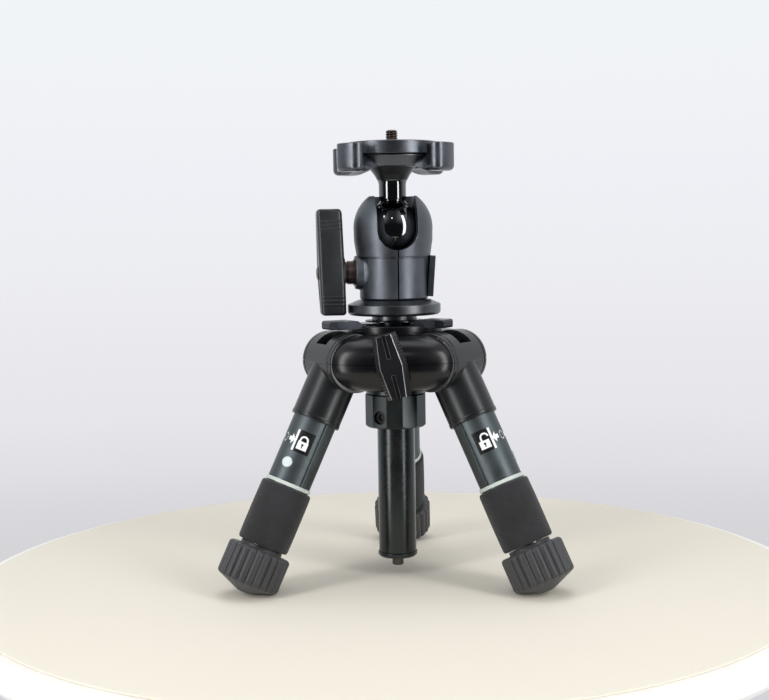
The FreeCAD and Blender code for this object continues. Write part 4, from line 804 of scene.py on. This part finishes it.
sole = {"radius": 16.3, "edge": 14.7, "sink": 0.25, "cone": 22, "tip": 3.0}
casting = castingBlank()
tube = tubeBlank()
black, white, holes = signShapes()
for side in legSides:
    place = legPlace(side)
    body = "leg_" + side
    settle(copyOf(casting, "leg_casting_" + side), body, "casting", place=legPlace(side, floor=False),
           replacing=["hip_casting_" + side], sharp=30)
    settle(copyOf(tube, "outer_tube_" + side), body, "tube", place=place, replacing=["leg_tube_" + side])
    ringLow, ringHigh = leg["ring"] - leg["ringHigh"] / 2, leg["ring"] + leg["ringHigh"] / 2
    settle(lathe("mark_ring_" + side, [(leg["tube"] + 0.02, ringLow), (leg["ringOut"], ringLow, 0.3),
                                       (leg["ringOut"], ringHigh, 0.3), (leg["tube"] + 0.02, ringHigh)], closed=True),
           body, "ring", place=place, replacing=["grip_ring_" + side])
    dotPlace = place @ placed(0, 0, leg["dot"]) @ turned(leg["dotTurn"]) @ turned(90, "Y")
    settle(lathe("mark_dot_" + side, [(0, 10.2), (leg["dotRadius"], 10.2), (leg["dotRadius"], 11.9, 0.5), (0, 12.1)],
                 sides=48), body, "dot", place=dotPlace, replacing=["tube_dot_" + side])
    rows = [(leg["grip"] + 0.12 * (1 - (2 * k / 60 - 1) ** 2),
             leg["gripLow"] + 1.6 + (leg["gripHigh"] - leg["gripLow"] - 3.2) * k / 60) for k in range(61)]
    foam = lathe("foam_sleeve_" + side, [(leg["tube"] + 0.05, leg["gripLow"]), (leg["grip"] - 0.3, leg["gripLow"], 1.2)]
                 + rows + [(leg["grip"] - 0.3, leg["gripHigh"], 1.5), (leg["tube"] + 0.05, leg["gripHigh"])],
                 closed=True, sides=180)
    foam = settle(grown(foam, foamSkin, Amount=0.17, Size=1.1, Seed=3.0 + legSides[side]), body, "foam", place=place,
                  replacing=["foam_grip_" + side], sharp=70)
    for word, shapes, lift, look in (("black", black, 0.03, "ink"), ("white", white, 0.06, "white"),
                                     ("holes", holes, 0.09, "ink")):
        settle(printed("sign_%s_%s" % (word, side), shapes, lift), body, look, place=place)

    outer = leg["bore"]
    for number, word in enumerate(("two", "three", "four")):
        radius = outer - leg["gap"]
        bore = radius - leg["wall"]
        low = 28 + 0.5 * number if word != "four" else 11.9
        high = 107.0 - 2 * number
        settle(lathe("inner_tube_%s_%s" % (word, side), [(bore, low, 0.2), (radius, low, 0.3), (radius, high, 0.3),
                                                         (bore, high, 0.2)], closed=True),
               "section_%s_%s" % (word, side), "section", place=place, replacing=["section_%s_%s" % (word, side)])
        outer = bore

    edge = sole["edge"] * math.tan(tilt) - sole["sink"]
    slope = math.tan(math.radians(sole["cone"]))
    tip = edge - (sole["edge"] - sole["tip"]) * slope
    profile = [(0, tip), (sole["tip"], tip, 1.4)]
    profile += [(r, tip + (r - sole["tip"]) * slope) for r in (5, 6.5, 8, 9.5, 11, 12, 13, 14)]
    profile += [(sole["radius"], edge + (sole["radius"] - sole["edge"]) * slope, 2.0)]
    profile += [(sole["radius"], 9.6 + 12.9 * k / 10) for k in range(11)]
    profile += [(sole["radius"], 24.9, 1.9), (13.6, 24.9), (12.8, 24.9), (12, 24.9), (10.9, 24.9, 0.4),
                (10.9, 26.9, 0.4), (7.52, 26.8), (7.52, 11.87), (0, 11.87)]
    foot = lathe("rubber_foot_" + side, profile, sides=288)
    settle(grown(foot, footRibs), "foot_" + side, "rubber", place=place, replacing=["foot_" + side], sharp=60)
    for vert in foot.data.vertices:
        vert.co.z = max(vert.co.z, 0)
for spare in (casting, tube):
    bpy.data.objects.remove(spare)
print("legs done")

# ---- head: base, housing, end plate, bushing, lever
settle(lathe("base_disc", [(4.05, 135.13), (11.7, 135.13, 0.2), (11.7, 137.95), (24.3, 137.95, 1.9), (24.3, 143.4, 0.6),
                           (18.9, 145.7, 0.4), (9.0, 145.7), (9.0, 151.7, 0.4), (0, 151.7), (0, 143.98),
                           (4.05, 143.98)], closed=True, sides=160),
       "column", "rim", replacing=["head_base"])
housing = {"radius": 17.8, "low": 146.05, "waist": 167.45, "groove": 0.8, "dome": 20.6, "domeHeight": 183.0,
           "slotLow": 181.95, "mouth": 12.2, "lip": 199.2, "ballRoom": 14.85, "slotHalf": 10.45}
profile = [(0, housing["low"]), (17.2, housing["low"], 0.3), (housing["radius"], housing["low"] + 0.8, 0.3),
           (housing["radius"], housing["waist"], 0.25), (housing["radius"] - 0.6, housing["waist"]),
           (housing["radius"] - 0.6, housing["waist"] + housing["groove"]),
           (19.2, housing["waist"] + housing["groove"], 0.25), (20.45, 176.5, 6.0)]
profile += arc(housing["dome"], range(0, 88, 3), housing["domeHeight"])
profile += [(0, housing["domeHeight"] + housing["dome"])]
shell = lathe("ball_housing", profile, sides=160)
boss = shift(lathe("boss", [(0, 0), (11.2, 0), (11.2, 13.5), (9.4, 16.6, 2.5), (8.5, 20.4, 0.5), (0, 20.4)], sides=96),
             placed(0, 0, leverHeight) @ turned(-90, "Y"))
swell = shift(lathe("swell", [(0, 147.1), (10.7, 147.1, 0.6), (12.3, 168.6, 0.6), (0, 168.6)], sides=128),
              placed(7.2, 0, 0))
carved(shell, "UNION", boss, swell)
slotPlace = placed(0, 0, housing["slotLow"]) @ turned(90, "X")
mouth = housing["mouth"]
room, slot = housing["ballRoom"], housing["slotHalf"]
ballSide = arc(room, range(-84, 85, 6), ballHeight)
tools = [lathe("ballRoom", [(0, ballHeight - room)] + ballSide + [(0, ballHeight + room)]),
         lathe("mouthRoom", [(0, ballHeight), (10.3, ballHeight), (10.3, 193.5), (mouth - 0.4, 197.4, 2.0),
                             (mouth, housing["lip"]), (mouth + 0.5, housing["lip"] + 0.5), (mouth + 2.5, 210),
                             (0, 210)]),
         rod("postRoom", 9.06, 140, 152.05),
         shift(slab("slotRoom", rectangle(-slot, 0, slot, 45), 0, 45), slotPlace),
         shift(rod("slotRound", slot, 0, 45), slotPlace),
         slab("slitRoom", rectangle(-0.35, -40, 0.35, 0), 140, ballHeight)]
carved(shell, "DIFFERENCE", *tools)
edged(shell, 0.4, angle=32, segments=3)
settle(shell, "head", "head", place=headTurn, replacing=["head_housing"], sharp=30)
cheek = slab("end_cap", rectangle(-4.6, -10.6, 4.6, 10.6), 0, 2.2, ease=3.0)
edged(cheek, 0.7, angle=40, segments=4)
leanBack = turned(-9) @ placed(18.7, 0, 157.9) @ turned(4.3, "Y")
settle(cheek, "head", "head", sharp=40, place=headTurn @ leanBack @ turned(90) @ turned(90, "X"))

knobAxis = headTurn @ placed(0, 0, leverHeight) @ turned(-90, "Y")
settle(lathe("lever_bushing", [(3.06, 20.4), (6.6, 20.4, 0.2), (6.6, 21.3), (6.1, 21.5), (6.1, 24.4, 0.2), (5.6, 24.6),
                               (5.6, 25.5, 0.3), (3.06, 25.5)], closed=True, sides=64),
       "head", "bronze", place=knobAxis, replacing=["knob_bushing"])

# lever: outline seen from the side, leaning a little; its length runs along Y while it is made
lever = {"up": 33.0, "down": 22.0, "wide": 8.5, "end": 5.25, "waistUp": 5.0, "waistDown": 6.0, "round": 2.0,
         "inner": 26.2, "innerUp": 0.8, "innerDown": 0.8, "outer": 39.45, "leanUp": 0.65, "leanDown": 1.0}
outline = [(-lever["end"], -lever["down"]), (lever["end"], -lever["down"]), (lever["wide"], -lever["waistDown"]),
           (lever["wide"], lever["waistUp"]), (lever["end"], lever["up"]), (-lever["end"], lever["up"]),
           (-lever["wide"], lever["waistUp"]), (-lever["wide"], -lever["waistDown"])]
corners = [(x, y, 1.6 if index in (0, 1, 4, 5) else 7.0) for index, (x, y) in enumerate(outline)]
soft = eased(corners, closed=True, steps=6)
line = []
for index, here in enumerate(soft):
    there = soft[(index + 1) % len(soft)]
    pieces = max(1, round((there - here).length / 0.25))
    line += [here.lerp(there, k / pieces) for k in range(pieces)]
# the near edge rounds in, then the far one; shares run from the inner face to the outer
levels = []
for far in (False, True):
    for step in range(6):
        lean = math.pi / 2 * step / 5
        inset = lever["round"] * (1 - (math.cos(lean) if far else math.sin(lean)))
        share = 1 - 0.16 * (1 - math.sin(lean)) if far else 0.16 * (1 - math.cos(lean))
        levels.append(([(p.x - math.copysign(min(inset, abs(p.x)), p.x), p.y * (1 - inset / 30)) for p in line], share))
grip = loft("lock_grip", levels)
for vert in grip.data.vertices:
    along = vert.co.y / (lever["up"] if vert.co.y > 0 else lever["down"])
    inner = lever["inner"] + along * (lever["innerUp"] if along > 0 else lever["innerDown"])
    outer = lever["outer"] + along * (lever["leanUp"] if along > 0 else lever["leanDown"])
    vert.co.z = inner + (outer - inner) * vert.co.z
grown(grip, flutes, Pitch=2.05, Depth=0.35, **{"Low Start": -17.6, "Low Stop": -11.2, "High Start": 21.2,
                                               "High Stop": 28.2, "Fade Low": 60.0, "Fade High": 90.0})
hub = lathe("hub", [(0, 25.75), (8.0, 25.75, 0.4), (8.0, 26.6), (7.6, 29), (7.6, 33), (0, 33)], sides=64)
carved(grip, "UNION", hub)
carved(grip, "DIFFERENCE", rod("capRoom", 4.2, 38.2, 42, sides=64))
edged(grip, 0.3, angle=45)
gripPlace = (headTurn @ placed(0, 0, leverHeight) @ turned(-90) @ turned(90, "X")
             @ Matrix.Scale(-1, 4, (1, 0, 0)))
settle(grip, "lock_knob", "plastic", place=gripPlace, replacing=["lock_lever"], sharp=30)
outwards(grip)
settle(lathe("lever_button", [(0, 38.25), (3.6, 38.25), (3.6, 39.9, 0.4), (2.2, 40.4, 0.3), (2.0, 39.7), (0, 39.7)],
             sides=48), "lock_knob", "steel", place=knobAxis, replacing=["lever_cap"])
print("head done")

# ---- ball and stem, turned in one piece
ball = {"radius": 14.5, "neck": 7.3, "stem": 7.1, "boltRoom": 3.63, "top": 219.85, "flareLow": 0.2085}
above = math.pi / 2 + math.acos(ball["neck"] / ball["radius"])
profile = [(ball["radius"] * math.cos(a), ballHeight + ball["radius"] * math.sin(a))
           for a in [above * k / 72 - math.pi / 2 for k in range(73)]]
profile[0] = (0, ballHeight - ball["radius"])
profile += [(6.6, ballHeight + 13.3), (6.6, ballHeight + 14.0), (ball["stem"], ballHeight + 14.4, 0.2),
            (ball["stem"], 206.3, 6.0), (9.2, 210.2, 8.0), (14.0, 216.6, 2.0), (14.2, ball["top"], 0.3),
            (ball["boltRoom"], ball["top"]), (ball["boltRoom"], 208), (0, 208)]
stem = lathe("ball_and_stem", profile, sides=128, steps=8)
settle(stem, "ball", "ball", replacing=["ball_stem"])
stem.data.materials.append(paint["flare"])
for face in stem.data.polygons:
    face.material_index = 1 if face.center.z > ball["flareLow"] else 0

# camera screw: a quarter-inch thread wound on its core
tree, given = newTree("screwThread", {"Pitch": 1.27, "Depth": 0.55, "Low": 228.0, "High": 233.0})
spot, reach, turn = polar(tree)
wind = calc(tree, "FRACT", calc(tree, "SUBTRACT", calc(tree, "DIVIDE", spot[2], given.outputs["Pitch"]),
                                calc(tree, "DIVIDE", turn, math.tau)))
tooth = calc(tree, "MULTIPLY", calc(tree, "ABSOLUTE", calc(tree, "SUBTRACT", wind, 0.5)), 2.0)
inside = calc(tree, "MULTIPLY", calc(tree, "GREATER_THAN", spot[2], given.outputs["Low"]),
              calc(tree, "GREATER_THAN", reach, 2.0))
newReach = calc(tree, "SUBTRACT", reach, calc(tree, "MULTIPLY", calc(tree, "MULTIPLY", tooth, inside),
                                              given.outputs["Depth"]))
closeTree(tree, setPolar(tree, given.outputs["Mesh"], spot, reach, newReach, spot[2]), "steel")
thread = {"radius": 3.175, "low": 228.0, "long": 4.8, "shank": 3.58}
rows = [(thread["radius"], thread["low"] + thread["long"] * k / 60) for k in range(61)]
screw = lathe("quarter_screw", [(0, 208.1), (thread["shank"], 208.1), (thread["shank"], 226.9),
                                (thread["radius"], 227.0), (thread["radius"], 227.9)]
              + rows + [(2.4, 233.4), (0, 233.4)], sides=64)
settle(grown(screw, tree), "ball", "steel", replacing=["camera_screw"], sharp=40)
settle(lathe("screw_collar", [(3.2, 226.6), (4.1, 226.6), (4.1, 227.6, 0.4), (3.3, 227.95, 0.2), (3.2, 227.9)],
             closed=True, sides=64), "ball", "brass")

# ---- platform: disc, pad and the four armed wheel
disc = {"radius": 24.6, "low": 220.2, "rim": 226.75, "floor": 226.0, "hole": 3.66, "pad": 22.9, "padHole": 6.35,
        "padHigh": 227.0}
settle(lathe("platform_disc", [(disc["hole"], disc["low"]), (disc["radius"], disc["low"], 0.6),
                               (disc["radius"], disc["rim"], 0.4), (23.2, disc["rim"], 0.3), (23.1, disc["floor"]),
                               (disc["hole"], disc["floor"])], closed=True, sides=160),
       "platform", "platform", replacing=["camera_disc"])
settle(lathe("platform_pad", [(disc["padHole"], disc["floor"]), (disc["pad"], disc["floor"]),
                              (disc["pad"], disc["padHigh"], 0.2), (disc["padHole"], disc["padHigh"], 0.2)],
             closed=True, sides=128), "platform", "cork", replacing=["camera_pad"])
wheel = {"bore": 14.95, "neck": 20.0, "shoulder": 23.4, "hubLow": 213.9, "low": 211.2, "high": 225.35, "ledge": 215.4,
         "round": 2.7, "discLow": 220.15, "turn": 52.5, "room": 24.65}
lobe = [(36.0, -7.6, 4.2), (37.4, 0, 16), (36.0, 7.6, 4.2)]
lowPlan = ([(15.5, -6.0, 0.5), (20.3, -5.9, 3), (26.5, -5.2, 9), (31.5, -7.5, 3.2)] + lobe
           + [(31.5, 7.5, 3.2), (26.5, 5.2, 9), (20.3, 5.9, 3), (15.5, 6.0, 0.5)])
highPlan = ([(22.5, -0.9, 0.1), (24.0, -0.9, 0.1), (27.0, -2.6, 4), (31.5, -7.5, 1.4)] + lobe
            + [(31.5, 7.5, 1.4), (27.0, 2.6, 4), (24.0, 0.9, 0.1), (22.5, 0.9, 0.1)])
lowLine, highLine = eased(lowPlan, closed=True, steps=6), eased(highPlan, closed=True, steps=6)


# plan of the arm: low and high plans mixed by a share, then drawn in by an inset
def armLevel(height, share, inset):
    line = [low.lerp(high, share) for low, high in zip(lowLine, highLine)]
    count = len(line)
    points = []
    for index, here in enumerate(line):
        along = (line[(index + 1) % count] - line[index - 1]).normalized()
        points.append(here + Vector((-along.y, along.x)) * inset)
    return points, height


rounding = []
for step in range(7):
    lean = math.pi / 2 * step / 6
    rounding.append((wheel["low"] + wheel["round"] * (1 - math.cos(lean)), 0, wheel["round"] * (1 - math.sin(lean))))
arm = loft("wheel_arm", [armLevel(*level) for level in rounding + [
    (wheel["ledge"], 0, 0), (217.2, 0.22, 0), (218.2, 0.42, 0), (219.2, 0.7, 0), (wheel["discLow"], 1, 0),
    (wheel["high"] - 0.6, 1, 0), (wheel["high"] - 0.2, 1, 0.2), (wheel["high"], 1, 0.6)]])
tree, given = newTree("armsRound", {"Arms": 4, "Turn": 0.0})
spots = put(tree, "GeometryNodeMeshCircle", {"Vertices": given.outputs["Arms"], "Radius": 0.001}).outputs[0]
index = put(tree, "GeometryNodeInputIndex").outputs[0]
lean = calc(tree, "MULTIPLY_ADD", index, calc(tree, "DIVIDE", math.tau, given.outputs["Arms"]), given.outputs["Turn"])
lean = put(tree, "ShaderNodeCombineXYZ", {2: lean}).outputs[0]
arms = put(tree, "GeometryNodeInstanceOnPoints", {"Points": spots, "Instance": given.outputs["Mesh"], "Rotation": lean})
closeTree(tree, arms.outputs[0], "platform")
grown(arm, tree, Arms=4, Turn=math.radians(wheel["turn"]))
body = lathe("arm_wheel", [(wheel["bore"], wheel["hubLow"]), (wheel["neck"], wheel["hubLow"], 1.2),
                           (wheel["shoulder"], wheel["discLow"] - 0.2, 0.5), (wheel["bore"], wheel["discLow"] - 0.2)],
             closed=True, sides=192)
arch = [(28.5 - 9.5 * k / 12, wheel["low"] + (wheel["hubLow"] - wheel["low"]) * (k / 12) ** 2 * (3 - 2 * k / 12))
        for k in range(13)]
carved(body, "UNION", arm)
archProfile = [(0, 205), (28.6, 205), (28.6, wheel["low"] - 0.1)] + arch + [(0, wheel["hubLow"] - 0.001)]
carved(body, "DIFFERENCE", rod("discRoom", wheel["room"], wheel["discLow"], 240, sides=192),
       lathe("archRoom", archProfile, sides=192), rod("boreRoom", wheel["bore"], 205, 230, sides=128))
edged(body, 0.35, angle=35, segments=2)
settle(body, "platform", "platform", replacing=["lock_wheel"], sharp=40)
print("platform done")

# ---- table top, backdrop and lights
table = {"middle": (-6, 7), "radius": 216, "edge": 9}


def stagePiece(piece, material):
    piece.data.transform(Matrix.Scale(mm, 4))
    piece.data.shade_smooth()
    piece.data.materials.clear()
    piece.data.materials.append(material)
    return piece


def plainMaterial(name, colour, rough, vary=0.02):
    made = bpy.data.materials.new(name)
    made.use_nodes = True
    tree = made.node_tree
    skin = tree.nodes["Principled BSDF"]
    skin.inputs["Roughness"].default_value = rough
    skin.inputs["Specular IOR Level"].default_value = 0.2
    place = put(tree, "ShaderNodeTexCoord").outputs["Object"]
    clouds = put(tree, "ShaderNodeTexNoise", {"Vector": place, "Scale": 6.0, "Detail": 3.0}).outputs[0]
    low = [c * (1 - vary) for c in colour] + [1]
    high = [min(1, c * (1 + vary)) for c in colour] + [1]
    shade = put(tree, "ShaderNodeMix", {0: clouds, 6: low, 7: high}, data_type="RGBA").outputs[2]
    tree.links.new(shade, skin.inputs["Base Color"])
    return made


cream = plainMaterial("creamBoard", (0.81, 0.758, 0.655), 0.75)
whiteWood = plainMaterial("whiteRim", (0.88, 0.85, 0.82), 0.5)
middle = placed(*table["middle"], 0)
stagePiece(shift(lathe("boardTop", [(0, 0), (table["radius"], 0, 0.3), (table["radius"], -1), (0, -1)], sides=192),
                 middle), cream)
outer = table["radius"] + table["edge"]
stagePiece(shift(lathe("tableRim", [(0, -1.05), (outer - 4, -1.05, 2), (outer, -5, 3), (outer, -12, 3),
                                    (outer - 6, -18, 2), (0, -18)], sides=192), middle), whiteWood)


def softLight(name, place, goal, wide, tall, power):
    data = bpy.data.lights.new(name, "AREA")
    data.shape = "RECTANGLE"
    data.size, data.size_y = wide, tall
    data.energy = power
    lamp = bpy.data.objects.new(name, data)
    scene.collection.objects.link(lamp)
    lamp.location = place
    lamp.rotation_euler = (Vector(goal) - Vector(place)).to_track_quat("-Z", "Y").to_euler()


lightRig = {"far": 0.95, "angle": 49, "wide": 0.2, "tall": 1.5, "middle": 0.25, "power": 8.2, "top": 4.6}
facing = math.radians(2.2 - 90)
for word, sign in (("left", -1), ("right", 1)):
    turn = facing + math.radians(lightRig["angle"]) * sign
    place = (math.cos(turn) * lightRig["far"], math.sin(turn) * lightRig["far"], lightRig["middle"])
    softLight("softbox_" + word, place, (0, 0, 0.13), lightRig["wide"], lightRig["tall"], lightRig["power"])
softLight("overhead", (0, 0.1, 1.3), (0, 0, 0.1), 0.9, 0.9, lightRig["top"])
softLight("glint", (-0.02, -0.62, 0.62), (0, 0, 0.18), 0.03, 0.03, 0.12)

world = bpy.data.worlds.new("studio")
scene.world = world
world.use_nodes = True
air = world.node_tree
air.nodes.clear()
rays = put(air, "ShaderNodeLightPath").outputs
way = put(air, "ShaderNodeSeparateXYZ", {0: put(air, "ShaderNodeTexCoord").outputs["Generated"]}).outputs
behind = spread(air, way[1], -0.35, 0.45, 0.0, 1.0, True)
shownColour = put(air, "ShaderNodeValToRGB", {0: spread(air, way[2], -0.24, 0.2, 0.0, 1.0, True)})
stops = shownColour.color_ramp.elements
stops[0].color, stops[1].color = (0.660, 0.660, 0.685, 1), (0.880, 0.905, 0.935, 1)
for place, colour in ((0.07, (0.745, 0.740, 0.780, 1)), (0.15, (0.795, 0.788, 0.828, 1)),
                      (0.3, (0.815, 0.811, 0.851, 1)), (0.5, (0.845, 0.850, 0.890, 1)),
                      (0.73, (0.865, 0.872, 0.915, 1))):
    stops.new(place).color = colour
above = calc(air, "MULTIPLY", spread(air, way[2], 0.1, 0.7, 0.0, 1.0, True),
             spread(air, calc(air, "ABSOLUTE", way[0]), 0.15, 0.6, 0.12, 1.0, True))
glossColour = put(air, "ShaderNodeMix", {0: calc(air, "MAXIMUM", behind, above), 6: (0.035, 0.037, 0.042, 1),
                                         7: (0.92, 0.94, 0.97, 1)}, data_type="RGBA")
plainColour = put(air, "ShaderNodeBackground", {0: (0.93, 0.96, 1.0, 1), 1: 0.5}).outputs[0]
shown = put(air, "ShaderNodeBackground", {0: shownColour.outputs[0], 1: 1.0}).outputs[0]
gloss = put(air, "ShaderNodeBackground", {0: glossColour.outputs[2], 1: 1.0}).outputs[0]
reflecting = calc(air, "MAXIMUM", rays["Is Glossy Ray"], rays["Is Transmission Ray"])
mixed = put(air, "ShaderNodeMixShader", {0: reflecting, 1: plainColour, 2: gloss}).outputs[0]
seen = put(air, "ShaderNodeMixShader", {0: rays["Is Camera Ray"], 1: mixed, 2: shown}).outputs[0]
put(air, "ShaderNodeOutputWorld", {0: seen})
print("stage done")

# ---- every solid that is still shown gets its finish
for name, node in nodes.items():
    node.data.materials.clear()
    node.data.materials.append(paint[slotPaint[nodeSlot[name]]])

print("scene ready")
